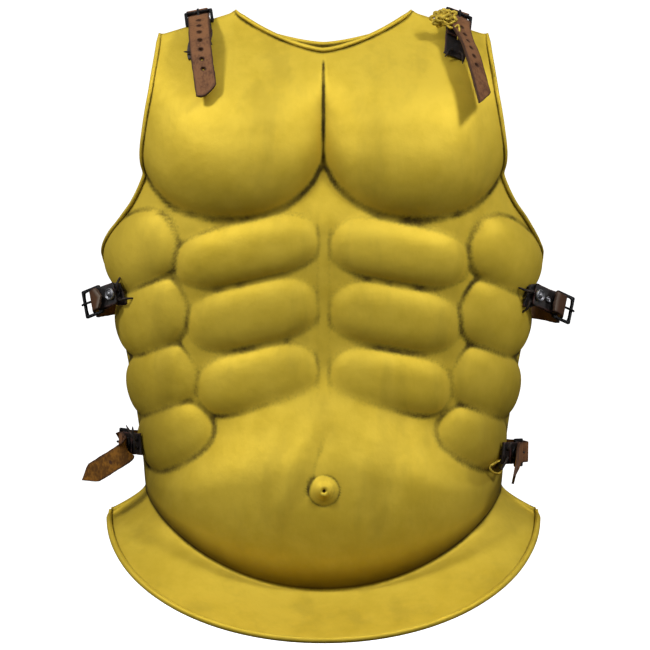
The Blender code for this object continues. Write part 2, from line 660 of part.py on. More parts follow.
def make_strap(name, buckle, matrix, across):
    """A strap from its rivet on the backplate, under the outer bar and over the pivot bar, to its tail."""
    def with_sign(side):
        side = Vector(side)
        return side if side.dot(across) > 0 else -side

    start, end = (Vector(place) for place in buckle["anchor"])
    seats = [plate_point(*start.lerp(end, share), back=True) for share in (1.0, 0.5, 0.0)]
    lift = SHEET / 2 + GAP + STAND_OFF + STRAP_THICK / 2
    general = with_sign(buckle["bridge"][-1][1])
    stations = [(place + facing * lift, general - facing * general.dot(facing)) for place, facing in seats]
    stations += [(Vector(place), with_sign(side)) for place, side in buckle["bridge"][::-1]]
    path = STRAP_PATH if buckle["tail"] else STEEP_PATH
    stations += [(matrix @ Vector((x, 0, z)), across) for x, z in path]
    past_x, past_z = OVER_RIVET if buckle["tail"] else SHORT_TAIL
    stations.append((matrix @ Vector((past_x, 0, past_z)), across))
    stations += [(Vector(place), with_sign(side)) for place, side in buckle["tail"]]
    strap = make_ribbon(name + "_strap", stations, STRAP_WIDTH, STRAP_THICK, strap_leather,
                        steps=2, columns=2, point=STRAP_POINT)
    hole = (STRAP_HOLE, TONGUE_SLOT, 5 * STRAP_THICK)
    cut(strap, name + "_tongue_hole", box(hole, (0.0095, 0, 0.0015), matrix))

    place, facing = seats[1]
    turn = facing.to_track_quat("Z", "Y").to_matrix().to_4x4()
    top = lift + STRAP_THICK / 2 + 2 * GAP
    make_rivet(name + "_strap_rivet", Matrix.Translation(place + facing * top) @ turn, 0.8 * RIVET_HEAD,
               RIVET_SHANK, top + SHEET / 2 + 2 * GAP, dark_steel)
    for piece in (strap, backplate):
        cut(piece, f"{name}_strap_rivet_hole_{piece.name}",
            rod(RIVET_SHANK + GAP, place - facing * DRILL_REACH, place + facing * DRILL_REACH, 8))


# ---------------------------------------------------------------- the cuirass
brass = material("brass", (0.66, 0.50, 0.10), 0.32, 1.0)
strap_leather = material("strap_leather", (0.23, 0.11, 0.06), 0.6, 0.0)
dark_leather = material("dark_leather", (0.03, 0.018, 0.014), 0.55, 0.0)
dark_steel = material("dark_steel", (0.06, 0.06, 0.06), 0.38, 1.0)

breastplate = make_plate("breastplate", brass, FRONT_GRID, back=False)
backplate = make_plate("backplate", brass, BACK_GRID, back=True)

for name, buckle in BUCKLES.items():
    matrix = facing_matrix(buckle["pivot"], buckle["along"], buckle["outward"])
    across = (matrix.to_3x3() @ Vector((0, 1, 0))).normalized()
    make_frame(name, matrix)
    tongue = [matrix @ Vector((x, 0, z)) for x, z in TONGUE_PATH]
    make_cord(name + "_tongue", tongue, TONGUE_RADIUS, dark_steel)
    make_chape(name, buckle, matrix, across)
    make_strap(name, buckle, matrix, across)
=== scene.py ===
"""Muscle cuirass: the finished look of its raised brass plates, leather straps and blackened buckles.

Metres, +Z up.  The breastplate faces -Y.  The origin is midway between the shoulders, at their height.
"""

import math
import random

import bmesh
import bpy
import numpy as np
from mathutils import Matrix, Vector


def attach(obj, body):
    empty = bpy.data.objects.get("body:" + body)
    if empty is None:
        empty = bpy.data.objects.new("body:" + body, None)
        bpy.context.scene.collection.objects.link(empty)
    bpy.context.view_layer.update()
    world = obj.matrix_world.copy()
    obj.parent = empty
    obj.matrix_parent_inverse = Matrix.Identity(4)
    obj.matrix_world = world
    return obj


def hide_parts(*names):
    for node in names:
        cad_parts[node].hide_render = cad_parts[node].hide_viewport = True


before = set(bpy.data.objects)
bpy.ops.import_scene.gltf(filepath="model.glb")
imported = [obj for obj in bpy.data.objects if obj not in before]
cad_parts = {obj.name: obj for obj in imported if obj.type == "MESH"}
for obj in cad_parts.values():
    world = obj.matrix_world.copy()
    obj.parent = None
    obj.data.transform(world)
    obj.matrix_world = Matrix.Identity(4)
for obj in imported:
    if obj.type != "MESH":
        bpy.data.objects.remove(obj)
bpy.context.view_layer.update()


# ---------------------------------------------------------------- breastplate
# One sheet of brass, raised with hammers over the form of a chest and belly, planished smooth and polished.
# Its neck, armholes and lower rim are rolled outwards, and old polish has dried dark in the hollows.
SHEET = 0.0014            # thickness of the brass
SQUARENESS = 2.3          # exponent of the trunk's cross-section
EDGE_SHARE = 0.9985       # how far round a side edge reaches, as a share of the half width

# The trunk that both plates are raised to, one row for each level.
#    height, half width, depth in front, depth behind
TRUNK = (
    (0.010, 0.1980, 0.046, 0.044),
    (-0.045, 0.1990, 0.081, 0.078),
    (-0.100, 0.2000, 0.104, 0.106),
    (-0.160, 0.2005, 0.116, 0.124),
    (-0.220, 0.2005, 0.118, 0.128),
    (-0.280, 0.1890, 0.112, 0.118),
    (-0.340, 0.1775, 0.108, 0.106),
    (-0.400, 0.1685, 0.110, 0.099),
    (-0.450, 0.1640, 0.110, 0.101),
    (-0.530, 0.1600, 0.104, 0.108),
)
# The armhole, from armpit to shoulder: height, distance from the middle plane.
ARMHOLE = (
    (-0.2208, 0.2002),
    (-0.2135, 0.2000),
    (-0.1990, 0.1925),
    (-0.1850, 0.1830),
    (-0.1710, 0.1720),
    (-0.1500, 0.1616),
    (-0.1290, 0.1557),
    (-0.1070, 0.1510),
    (-0.0780, 0.1473),
    (-0.0215, 0.1490),
)
ARMPIT_Z = -0.2208
SHOULDER_X = 0.1490       # outer end of a shoulder edge
SHOULDER_Z = -0.0215
NECK_X = 0.0810           # inner end of a shoulder edge, where the neckline starts
NECK_Z = 0.0015
NECK_DROP = {"front": 0.0448, "back": 0.0180}
NECK_CURVE = 1.5          # how round it is: 2 is a parabola, and less is more pointed
SHOULDER_TIP = (0.0030, 0.0016)  # each end of a shoulder edge is turned up: how wide, how high
CREASE_Z = -0.4330        # where the flare starts at the side edges
CREASE_DROP = 0.0870      # how much lower it starts at the middle
CREASE_CURVE = 0.75       # how round it is: 0.5 is half an oval, and 1 a parabola
FLARE_CURVE = (1.25, 0.85)  # how it turns out and how it falls: with 1 and 1 it would slope straight
RIM_X = 0.1980
RIM_DEPTH = {"front": 0.1750, "back": 0.1490}
RIM_Z = -0.4560
RIM_DROP = 0.1040

# The raised muscles: middle (x, z), half width, half height, turn in degrees, rise.
BELLY_MUSCLES = (
    (-0.0664, -0.2192, 0.0676, 0.0290, 12.5, 0.0135),
    (0.0662, -0.2204, 0.0645, 0.0290, -10.0, 0.0135),
    (-0.0618, -0.2744, 0.0622, 0.0312, 12.5, 0.0130),
    (0.0628, -0.2767, 0.0616, 0.0315, -10.0, 0.0130),
    (-0.0574, -0.3327, 0.0580, 0.0308, 13.0, 0.0130),
    (0.0584, -0.3347, 0.0580, 0.0304, -10.0, 0.0130),
)
SIDE_MUSCLES = (
    (-0.1655, -0.2190, 0.0390, 0.0335, 38.0, 0.0100),
    (0.1650, -0.2230, 0.0390, 0.0320, -38.0, 0.0100),
    (-0.1545, -0.2775, 0.0400, 0.0335, 32.0, 0.0110),
    (0.1545, -0.2785, 0.0390, 0.0335, -32.0, 0.0110),
    (-0.1450, -0.3345, 0.0390, 0.0335, 32.0, 0.0110),
    (0.1460, -0.3360, 0.0385, 0.0330, -32.0, 0.0110),
    (-0.1320, -0.3850, 0.0385, 0.0325, 25.0, 0.0125),
    (0.1325, -0.3860, 0.0355, 0.0305, -25.0, 0.0105),
)
BLUNTNESS = {"belly": (3.6, 2.4), "side": (2.4, 2.4), "back": (2.6, 2.6)}
ROUNDNESS = (0.50, 0.68)  # of a muscle's flanks below and above: 0.5 is a half round, 1 slopes gently
FLANK_FOOT = 0.03         # keeps the foot of a flank short of upright
WEB = 0.0058              # height of the web between the muscles of the belly
WEB_ENDS = ((-0.155, -0.200), (-0.400, -0.340))
WEB_SIDE = (0.145, 0.110)
LINEA = (0.0030, 0.0010)  # the raised cord down the middle of the belly: half its width, and its height
LINEA_ENDS = ((-0.185, -0.200), (-0.365, -0.345))
MERGE = 6                 # how tightly the muscles run into each other
PEC_X = 0.0818
PEC_Z = -0.0950
PEC_HALF = (0.0872, 0.0985)
PEC_RISE = 0.0270
PEC_PLATEAU = 0.80        # share of the rise that the upper chest keeps
PEC_SPREAD = 1.7          # how much further a breast runs up than down
PEC_BLUNTNESS = 2.25
PEC_FULLNESS = (0.30, -0.060, -0.165)  # how much fuller its lower part is, and from where to where
PEC_TOP = (0.0, -0.095)   # from where to where the chest rises
PEC_FADE = (-0.045, -0.120)  # from where to where its slope turns into two breasts
BREAST_GROOVE = (0.0016, 0.0012)  # half width and depth of the groove between the breasts
GROOVE_ENDS = ((-0.047, -0.060), (-0.150, -0.125))
BREAST_FOLD = (-0.122, 0.011, 0.0007)  # the shallow fold over each breast: its level, half height and depth
FOLD_ENDS = ((0.004, 0.020), (0.125, 0.080))
BELLY_RISE = 0.0250
BELLY_TOP = (-0.318, 0.170)  # where it passes under the muscles, and how much lower it starts at the sides
BELLY_CROWN = 0.50        # where it stands out most, as a share of the way up
BELLY_TUCK = (2.2, 0.6)   # how it curves in below that
BELLY_ARCH = 0.45         # how much its top flattens towards the sides
NAVEL = (0.0005, -0.4310)
# The navel is a button with a pit, on a low cone: distance from its middle, height.
NAVEL_PROFILE = (
    (0.0000, 0.0030),
    (0.0014, 0.0034),
    (0.0024, 0.0066),
    (0.0040, 0.0068),
    (0.0052, 0.0046),
    (0.0085, 0.0020),
    (0.0130, 0.0000),
)
# Upright folds in the belly: upper and lower end (x, z), half width and height.
BELLY_FOLDS = (
    (-0.0130, -0.3790, -0.0370, -0.4560, 0.0085, 0.0022),
    (0.0010, -0.3850, -0.0150, -0.4350, 0.0050, -0.0010),
    (-0.0540, -0.3800, -0.0560, -0.4650, 0.0060, -0.0009),
    (0.0520, -0.3900, 0.0560, -0.4400, 0.0070, -0.0009),
)
FOLD_FADE = ((-0.25, 0.3), (1.3, 0.7))  # how a fold fades out at its ends, as shares of its length

# The sheet's mesh: columns across, rows up and rows down the flare.  Rows crowd where the muscles are small.
FRONT_GRID = (176, 214, 22)
ROWS_UP = ((0.0, 0.0), (0.20, 0.20), (0.68, 0.60), (1.0, 1.0))
COLUMNS_OUT = ((0.0, 0.0), (0.06, 0.035), (0.60, 0.50), (1.0, 1.0))
ON_LINE = 0.01            # nearer than this to a row or a column counts as on it
CAVITY_REACH = 0.0040     # how far round a point the hollows are looked for
HOLLOW_DEPTH = 0.00075    # how deep a hollow is that polish fills
CREASE_SHADE = 0.030      # how far up the belly from the crease shade is painted on
ON_FLARE = (-0.8, -0.2)   # the rows over which that fades out on the flare
SIDE_SHADE = 0.50         # how strong the shade painted on the sides of the belly is
SHADED_OUT = (0.30, 0.80)  # from what share of the half width, and from what height down
SHADED_DOWN = (-0.29, -0.39)
FLARE_SHARE = 0.35        # the share of that which the sides of the flare have


def read_table(table, level):
    """The other columns of a table at an array of levels, on a smooth curve through its rows."""
    rows = np.array(sorted(table))
    level = np.asarray(level, float)
    last = len(rows) - 1
    index = np.clip(np.searchsorted(rows[:, 0], level, side="right") - 1, 0, last - 1)
    low, high = rows[index], rows[index + 1]
    before, after = rows[np.maximum(index - 1, 0)], rows[np.minimum(index + 2, last)]
    span = (high - low)[..., :1]
    t = np.clip((level[..., None] - low[..., :1]) / span, 0.0, 1.0)
    start = (high - before) / (high - before)[..., :1] * span
    end = (after - low) / (after - low)[..., :1] * span
    values = ((2 * t**3 - 3 * t**2 + 1) * low + (t**3 - 2 * t**2 + t) * start
              + (3 * t**2 - 2 * t**3) * high + (t**3 - t**2) * end)
    return np.moveaxis(values[..., 1:], -1, 0)


def smooth(start, end, value):
    """0 before the start and 1 past the end, with a soft step between them."""
    t = np.clip((value - start) / (end - start), 0.0, 1.0)
    return t * t * (3 - 2 * t)


def between(ends, value):
    """1 between two soft ends.  Each end is the value where it starts and the value where it is full."""
    return smooth(*ends[0], value) * smooth(*ends[1], value)


def trunk_depth(x, z, side):
    """How far the plain trunk stands out from the middle plane."""
    half_width, front, behind = read_table(TRUNK, z)
    share = np.minimum(np.abs(x) / half_width, 0.9999)
    return (front if side == "front" else behind) * (1 - share**SQUARENESS) ** (1 / SQUARENESS)


def crease_height(share):
    """The height where the flare starts, at a share of the half width."""
    return CREASE_Z - CREASE_DROP * (1 - np.minimum(np.abs(share), 1.0) ** 2) ** CREASE_CURVE


def flank(radius, roundness):
    """The height of a dome from 1 at its middle to 0 at its edge, steep there but not upright."""
    core = np.clip(1 - radius, 0.0, 1.0)
    foot = FLANK_FOOT**roundness
    return ((core + FLANK_FOOT) ** roundness - foot) / ((1 + FLANK_FOOT) ** roundness - foot)


def dome(x, z, muscle, kind):
    """A muscle's height: a blunt oval that hangs over at its lower edge and slopes more gently above."""
    centre_x, centre_z, half_x, half_z, turn, rise = muscle
    angle = math.radians(turn)
    dx, dz = x - centre_x, z - centre_z
    along = (dx * math.cos(angle) + dz * math.sin(angle)) / half_x
    across = (dz * math.cos(angle) - dx * math.sin(angle)) / half_z
    below, above = ROUNDNESS
    roundness = below + (above - below) * smooth(-0.2, 0.8, across)
    blunt_along, blunt_across = BLUNTNESS[kind]
    return rise * flank(np.abs(along) ** blunt_along + np.abs(across) ** blunt_across, roundness)


def pectoral(x, z):
    """The chest: two round domes with a groove between, which run up into one smooth slope."""
    half_x, half_z = PEC_HALF
    drop = np.abs(z - PEC_Z) / np.where(z < PEC_Z, half_z, PEC_SPREAD * half_z)
    aside = np.abs(np.abs(x) - PEC_X) / half_x
    domed = flank(aside**PEC_BLUNTNESS + drop**PEC_BLUNTNESS, ROUNDNESS[0])
    fuller, full_top, full_low = PEC_FULLNESS
    domed = domed * (1 + fuller * smooth(full_top, full_low, z))
    level, half_height, fold_depth = BREAST_FOLD
    fold = np.exp(-((z - level) / half_height) ** 2) * between(FOLD_ENDS, np.abs(x))
    width, groove_depth = BREAST_GROOVE
    groove = np.exp(-(x / width) ** 2) * between(GROOVE_ENDS, z)
    shoulder = PEC_PLATEAU + (domed - PEC_PLATEAU) * smooth(*PEC_FADE, z)
    swell = PEC_RISE * shoulder * smooth(*PEC_TOP, z)
    return np.maximum(swell - fold_depth * fold - groove_depth * groove, 0.0)


def belly(x, z):
    """The belly: it swells from under the muscles down to its crown, and tucks in above the flare."""
    share = np.minimum(np.abs(x) / read_table(TRUNK, z)[0], 1.0)
    top, sag = BELLY_TOP
    low = crease_height(share)
    reach = top - sag * share**2 * (1 - BELLY_ARCH * share**2) - low
    up = np.clip((z - low) / reach, 0.0, 1.0)
    under = np.clip(1 - up / BELLY_CROWN, 0.0, 1.0)
    over = smooth(1.0, BELLY_CROWN, up)
    curve, lift = BELLY_TUCK
    swell = np.where(up < BELLY_CROWN, (1 - under**curve) ** lift, over)
    return BELLY_RISE * swell * (1 - share**3)


def belly_folds(x, z):
    """The shallow upright folds in the belly."""
    height = 0.0
    for top_x, top_z, foot_x, foot_z, half_width, rise in BELLY_FOLDS:
        down = (z - top_z) / (foot_z - top_z)
        middle = top_x + (foot_x - top_x) * down
        height = height + rise * np.exp(-((x - middle) / half_width) ** 2) * between(FOLD_FADE, down)
    return height


def relief(x, z):
    """How far the breastplate stands out from the plain trunk."""
    heights = [dome(x, z, muscle, "belly") for muscle in BELLY_MUSCLES]
    heights += [dome(x, z, muscle, "side") for muscle in SIDE_MUSCLES] + [pectoral(x, z)]
    web = WEB * between(WEB_ENDS, z) * smooth(*WEB_SIDE, np.abs(x))
    half_width, rise = LINEA
    linea = rise * np.exp(-(x / half_width) ** 2) * between(LINEA_ENDS, z)
    below = web + linea + belly(x, z)
    merged = sum(height**MERGE for height in heights + [below]) ** (1 / MERGE)
    navel = np.interp(np.hypot(x - NAVEL[0], z - NAVEL[1]), *zip(*NAVEL_PROFILE))
    return merged + belly_folds(x, z) + navel


SHOULDER_BLADE = (0.080, -0.130, 0.070, 0.085, 20.0, 0.008)
SPINE = (0.0140, 0.0060)  # the furrow down the spine: half its width, and its depth
SPINE_ENDS = ((-0.03, -0.09), (-0.50, -0.40))


def back_relief(x, z):
    """The backplate's modelling: shoulder blades, and a shallow furrow down the spine."""
    half_width, depth = SPINE
    furrow = np.exp(-(x / half_width) ** 2) * between(SPINE_ENDS, z)
    return dome(np.abs(x), z, SHOULDER_BLADE, "back") - depth * furrow


def soften(values, passes):
    """Evens out values on a grid with their neighbours, as a planishing hammer does."""
    for _ in range(passes):
        for axis in (0, 1):
            padded = np.concatenate([values.take([0], axis), values, values.take([-1], axis)], axis)
            count = padded.shape[axis]
            values = (padded.take(range(count - 2), axis) + 2 * padded.take(range(1, count - 1), axis)
                      + padded.take(range(2, count), axis)) / 4
    return values


def plate_point(x, z, side, lift=None):
    """Points of a plate's middle surface, and the directions that the plain trunk faces there."""
    step = 0.0006
    sign = -1 if side == "front" else 1
    slope_x = (trunk_depth(x + step, z, side) - trunk_depth(x - step, z, side)) / (2 * step)
    slope_z = (trunk_depth(x, z + step, side) - trunk_depth(x, z - step, side)) / (2 * step)
    facing = np.stack([-slope_x, np.full_like(slope_x, sign), -slope_z], axis=-1)
    facing /= np.linalg.norm(facing, axis=-1, keepdims=True)
    if lift is None:
        lift = relief(x, z) if side == "front" else back_relief(x, z)
    flat = np.stack([x, sign * trunk_depth(x, z, side), z], axis=-1)
    return flat + facing * lift[..., None], facing


def plate_outline(across, up, side):
    """Where a point of the sheet lies: across -1 to 1, up from 0 at the crease to 1 at the shoulder."""
    edge_z = CREASE_Z + (SHOULDER_Z - CREASE_Z) * up
    half_width = read_table(TRUNK, edge_z)[0]
    armhole = np.minimum(read_table(ARMHOLE, edge_z)[0], half_width * EDGE_SHARE)
    edge_x = np.where(edge_z < ARMPIT_Z, half_width * EDGE_SHARE, armhole)
    turn = np.arcsin(np.minimum(edge_x / half_width, EDGE_SHARE))
    share = np.sin(across * turn) / np.sin(turn)
    x = edge_x * share
    neckline = NECK_Z - NECK_DROP[side] * (1 - np.minimum(np.abs(x) / NECK_X, 1.0) ** NECK_CURVE)
    shoulder = NECK_Z + (SHOULDER_Z - NECK_Z) * (np.abs(x) - NECK_X) / (SHOULDER_X - NECK_X)
    tips = sum(np.exp(-((np.abs(x) - end) / SHOULDER_TIP[0]) ** 2) for end in (NECK_X, SHOULDER_X))
    top = np.where(np.abs(x) < NECK_X, neckline, shoulder) + SHOULDER_TIP[1] * tips
    sag = crease_height(share) - CREASE_Z
    return x, edge_z + sag * (1 - up) + (top - SHOULDER_Z) * up**3


def flare_point(across, down, side):
    """Points of the flare, which turns out from the crease (down 0) to the rim (down 1)."""
    x, z = plate_outline(across, np.zeros_like(across), side)
    start = plate_point(x, z, side)[0]
    share = np.sin(across * math.pi / 2)
    sign = -1 if side == "front" else 1
    reach = (1 - np.minimum(np.abs(share), EDGE_SHARE) ** SQUARENESS) ** (1 / SQUARENESS)
    rim = np.stack([RIM_X * share, sign * RIM_DEPTH[side] * reach,
                    RIM_Z - RIM_DROP * np.sqrt(1 - np.minimum(share**2, 1.0))], axis=-1)
    out, fall = (down**curve for curve in FLARE_CURVE)
    weights = np.stack([out, out, fall], axis=-1)
    return start + (rim - start) * weights


def cavity(x, z, surface):
    """How far a point lies below the mean of the surface round it: above 0 in the hollows."""
    around = 0.0
    for index in range(8):
        angle = index * math.pi / 4
        around = around + surface(x + CAVITY_REACH * math.cos(angle), z + CAVITY_REACH * math.sin(angle))
    return around / 8 - surface(x, z)


def lay_out(sheet, grid, side):
    """Where each vertex of the flat sheet goes: its row and column, and its place (x, z) on the trunk."""
    columns, rows, flare_rows = grid
    flat = np.array([vert.co for vert in sheet.verts])
    column = (flat[:, 0] + 1) / 2 * columns
    row = (flat[:, 1] + 1) / 2 * (rows + flare_rows) - flare_rows
    column, row = (np.where(np.abs(place - np.rint(place)) < ON_LINE, np.rint(place), place)
                   for place in (column, row))
    across = 2 * column / columns - 1
    across = np.sign(across) * np.interp(np.abs(across), *zip(*COLUMNS_OUT))
    x, z = plate_outline(across, np.interp(row / rows, *zip(*ROWS_UP)), side)
    return row, column, across, x, z


def raise_sheet(grid, side):
    """The sheet cut to its outline and raised, as a bmesh, with each vertex's row, column and tarnish."""
    columns, rows, flare_rows = grid
    on_grid = (rows + flare_rows + 1, columns + 1)
    sheet = bmesh.new()
    bmesh.ops.create_grid(sheet, x_segments=columns, y_segments=rows + flare_rows, size=1.0)
    if side == "front":
        x, z = lay_out(sheet, grid, side)[3:]
        near = np.hypot(x - NAVEL[0], z - NAVEL[1]) < NAVEL_PROFILE[-1][0]
        round_navel = [vert for vert, is_near in zip(sheet.verts, near) if is_near]
        edges = list({edge for vert in round_navel for face in vert.link_faces for edge in face.edges})
        bmesh.ops.subdivide_edges(sheet, edges=edges, cuts=3, use_grid_fill=True)
    row, column, across, x, z = lay_out(sheet, grid, side)
    surface = relief if side == "front" else back_relief
    exact = surface(x, z)
    # The grid's own vertices come first, and those added round the navel after them.
    count = on_grid[0] * on_grid[1]
    lift = exact.copy()
    lift[:count] = soften(exact[:count].reshape(on_grid), 1).reshape(-1)
    if side == "front":
        near = np.hypot(x - NAVEL[0], z - NAVEL[1]) < NAVEL_PROFILE[-1][0]
        lift[near] = exact[near]
    points = plate_point(x, z, side, lift)[0]
    hollows = np.clip(cavity(x, z, surface) / HOLLOW_DEPTH, 0.0, 1.0)
    # Shade painted on: a band above the crease, and the sides of the belly and, more faintly, of the flare.
    above_crease = z - crease_height(np.abs(x) / read_table(TRUNK, z)[0])
    satin_and_painted_shade = smooth(CREASE_SHADE, 0.0, above_crease) * smooth(*ON_FLARE, row)
    flared = row < 0
    sides = SIDE_SHADE * smooth(*SHADED_OUT, np.abs(across)) * smooth(*SHADED_DOWN, z)
    satin_and_painted_shade = np.maximum(satin_and_painted_shade, sides * np.where(flared, FLARE_SHARE, 1.0))
    hollows[flared] = 0.0
    hollows[:count] = soften(hollows[:count].reshape(on_grid), 1).reshape(-1)
    points[flared] = flare_point(across[flared], -row[flared] / flare_rows, side)
    for vert, point in zip(sheet.verts, points):
        vert.co = point
    if side == "back":
        bmesh.ops.reverse_faces(sheet, faces=sheet.faces)
    sheet.normal_update()
    tarnish = sheet.verts.layers.float.new("tarnish")
    painted_shade = sheet.verts.layers.float.new("painted_shade")
    for vert, amount, shade_amount in zip(sheet.verts, hollows, satin_and_painted_shade):
        vert[tarnish] = amount
        vert[painted_shade] = shade_amount
    return sheet, row, column, tarnish


ROLL_TURN = math.radians(290)
ROLL_STEPS = 9
ROLL_GRIME = 0.62         # how much old polish lies in the groove beside a roll
ROLL_TAPER = (0.012, 0.35)  # how long a roll takes to reach its full size, and how thin it starts
ROLL_SEAM = (0.72, 0.90)  # old polish fills the roll's last turn: from what share of it, and how much
NECK_ROLL = 0.0016        # radii of the rolls
RIM_ROLL = 0.0022
ARMHOLE_ROLL = 0.0014
ROLL_PAST = 0.001         # how far the neck's roll runs past the neckline
ARMPIT_PAST = 0.007       # how far an armhole's roll starts below the armpit


def roll_edge(sheet, run, radius, tarnish):
    """Rolls a run of the sheet's edge outwards, by extruding it round in short steps."""
    on_run = set(run)
    for vert in run:
        for edge in vert.link_edges:
            edge.other_vert(vert)[tarnish] = max(edge.other_vert(vert)[tarnish], ROLL_GRIME)
    frames = []
    lengths = [0.0]
    for a, b in zip(run, run[1:]):
        lengths.append(lengths[-1] + (b.co - a.co).length)
    for index, vert in enumerate(run):
        along = (run[min(index + 1, len(run) - 1)].co - run[max(index - 1, 0)].co).normalized()
        inward = sum(((edge.other_vert(vert).co - vert.co) for edge in vert.link_edges
                      if edge.other_vert(vert) not in on_run), Vector())
        facing = (vert.normal - along * vert.normal.dot(along)).normalized()
        outward = along.cross(facing)
        if outward.dot(inward) > 0:
            outward = -outward
        taper, thinnest = ROLL_TAPER
        end = min(lengths[index], lengths[-1] - lengths[index]) / taper
        size = radius * (thinnest + (1 - thinnest) * min(end, 1.0))
        frames.append((vert.co.copy(), facing * size, outward * size))
    seam_start, seam_grime = ROLL_SEAM
    place = {vert: index for index, vert in enumerate(run)}
    edges = [edge for a, b in zip(run, run[1:]) for edge in a.link_edges if edge.other_vert(a) == b]
    for step in range(1, ROLL_STEPS + 1):
        angle = ROLL_TURN * step / ROLL_STEPS
        made = bmesh.ops.extrude_edge_only(sheet, edges=edges)["geom"]
        fresh = [part for part in made if isinstance(part, bmesh.types.BMVert)]
        edges = [part for part in made if isinstance(part, bmesh.types.BMEdge)
                 and part.verts[0] in fresh and part.verts[1] in fresh]
        placed = {}
        for vert in fresh:
            index = next(place[edge.other_vert(vert)] for edge in vert.link_edges
                         if edge.other_vert(vert) in place)
            placed[vert] = index
        for vert, index in placed.items():
            start, facing, outward = frames[index]
            vert.co = start + facing * (1 - math.cos(angle)) + outward * math.sin(angle)
            vert[tarnish] = seam_grime * max(0.0, step / ROLL_STEPS - seam_start) / (1 - seam_start)
        place = placed


def roll_edges(sheet, grid, row, column, tarnish):
    """Rolls a plate's neckline, its lower rim and the edges of its armholes."""
    columns, rows, flare_rows = grid
    top = [vert for vert, r in zip(sheet.verts, row) if r == rows]
    neckline = [vert for vert in top if abs(vert.co.x) <= NECK_X + ROLL_PAST]
    rim = [vert for vert, r in zip(sheet.verts, row) if r == -flare_rows]
    runs = [(neckline, 0, NECK_ROLL), (rim, 0, RIM_ROLL)]
    for edge in (0, columns):
        side = [vert for vert, c in zip(sheet.verts, column) if c == edge]
        runs.append(([vert for vert in side if vert.co.z > ARMPIT_Z - ARMPIT_PAST], 2, ARMHOLE_ROLL))
    for run, axis, radius in runs:
        roll_edge(sheet, sorted(run, key=lambda vert: vert.co[axis]), radius, tarnish)


def finish_piece(name, shape, finish, replaced, smooth_angle=None):
    """Makes a bmesh a piece of the cuirass that stands for these nodes."""
    mesh = bpy.data.meshes.new(name)
    shape.to_mesh(mesh)
    shape.free()
    mesh.materials.append(finish)
    mesh.shade_smooth()
    if smooth_angle is not None:
        mesh.set_sharp_from_angle(angle=smooth_angle)
    piece = bpy.data.objects.new(name, mesh)
    bpy.context.scene.collection.objects.link(piece)
    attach(piece, "root")
    if replaced:
        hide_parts(replaced)
    return piece


def plate_piece(name, grid, side, finish, replaced):
    """Raises a plate, rolls its edges and gives the sheet its thickness."""
    sheet, row, column, tarnish = raise_sheet(grid, side)
    roll_edges(sheet, grid, row, column, tarnish)
    plate = finish_piece(name, sheet, finish, replaced)
    wall = plate.modifiers.new("sheet", "SOLIDIFY")
    wall.thickness = SHEET
    wall.offset = 0.0


class Amount:
    """A shader value.  Sums with it add Math nodes."""

    def __init__(self, finish, socket):
        self.finish = finish
        self.socket = socket

    def _math(self, operation, first, second):
        made = self.finish.node("Math", {"operation": operation}, {0: first, 1: second})
        return Amount(self.finish, made.outputs[0])

    def __add__(self, other):
        return self._math("ADD", self, other)

    __radd__ = __add__

    def __sub__(self, other):
        return self._math("SUBTRACT", self, other)

    def __rsub__(self, other):
        return self._math("SUBTRACT", other, self)

    def __mul__(self, other):
        return self._math("MULTIPLY", self, other)

    __rmul__ = __mul__

    def __pow__(self, other):
        return self._math("POWER", self, other)


class Finish:
    """A material being mixed."""

    def __init__(self, name):
        self.material = bpy.data.materials.new(name)
        self.material.use_nodes = True
        self.shader = self.material.node_tree.nodes["Principled BSDF"]

    def feed(self, socket, value):
        if isinstance(value, Amount):
            value = value.socket
        if isinstance(value, bpy.types.NodeSocket):
            self.material.node_tree.links.new(value, socket)
        elif isinstance(value, tuple) and socket.type == "RGBA":
            socket.default_value = (*value, 1.0)
        else:
            socket.default_value = value

    def node(self, kind, settings=None, inputs=None):
        made = self.material.node_tree.nodes.new("ShaderNode" + kind)
        for name, value in (settings or {}).items():
            setattr(made, name, value)
        for name, value in (inputs or {}).items():
            self.feed(made.inputs[name], value)
        return made

    def set(self, **inputs):
        """Feeds the shader: Base_Color stands for Base Color."""
        for name, value in inputs.items():
            self.feed(self.shader.inputs[name.replace("_", " ")], value)

    def place(self, source="Object"):
        return self.node("TexCoord").outputs[source]

    def stretched(self, place, scale):
        return self.node("Mapping", {}, {"Vector": place, "Scale": scale}).outputs[0]

    def noise(self, place, scale, detail=3.0, roughness=0.55):
        made = self.node("TexNoise", {}, {"Vector": place, "Scale": scale, "Detail": detail,
                                          "Roughness": roughness})
        return Amount(self, made.outputs["Fac"])

    def attribute(self, name):
        return Amount(self, self.node("Attribute", {"attribute_name": name}).outputs["Fac"])

    def ramp(self, value, low, high):
        """0 below low, 1 above high, and smooth between."""
        made = self.node("MapRange", {"interpolation_type": "SMOOTHSTEP"},
                         {"Value": value, "From Min": low, "From Max": high})
        return Amount(self, made.outputs["Result"])

    def blend(self, share, first, second):
        made = self.node("Mix", {"data_type": "RGBA"}, {0: share, 6: first, 7: second})
        return made.outputs[2]

    def bump(self, height, distance, strength=1.0, under=None):
        inputs = {"Height": height, "Distance": distance, "Strength": strength}
        if under is not None:
            inputs["Normal"] = under
        return self.node("Bump", {}, inputs).outputs["Normal"]


BRASS = (0.76, 0.555, 0.058)
BRASS_WARM = (0.66, 0.472, 0.040)
BRASS_DULL = (0.40, 0.285, 0.030)
# The dark of old polish in the hollows, also used for the painted shade.
PATINA_AND_SHADE = (0.050, 0.034, 0.006)


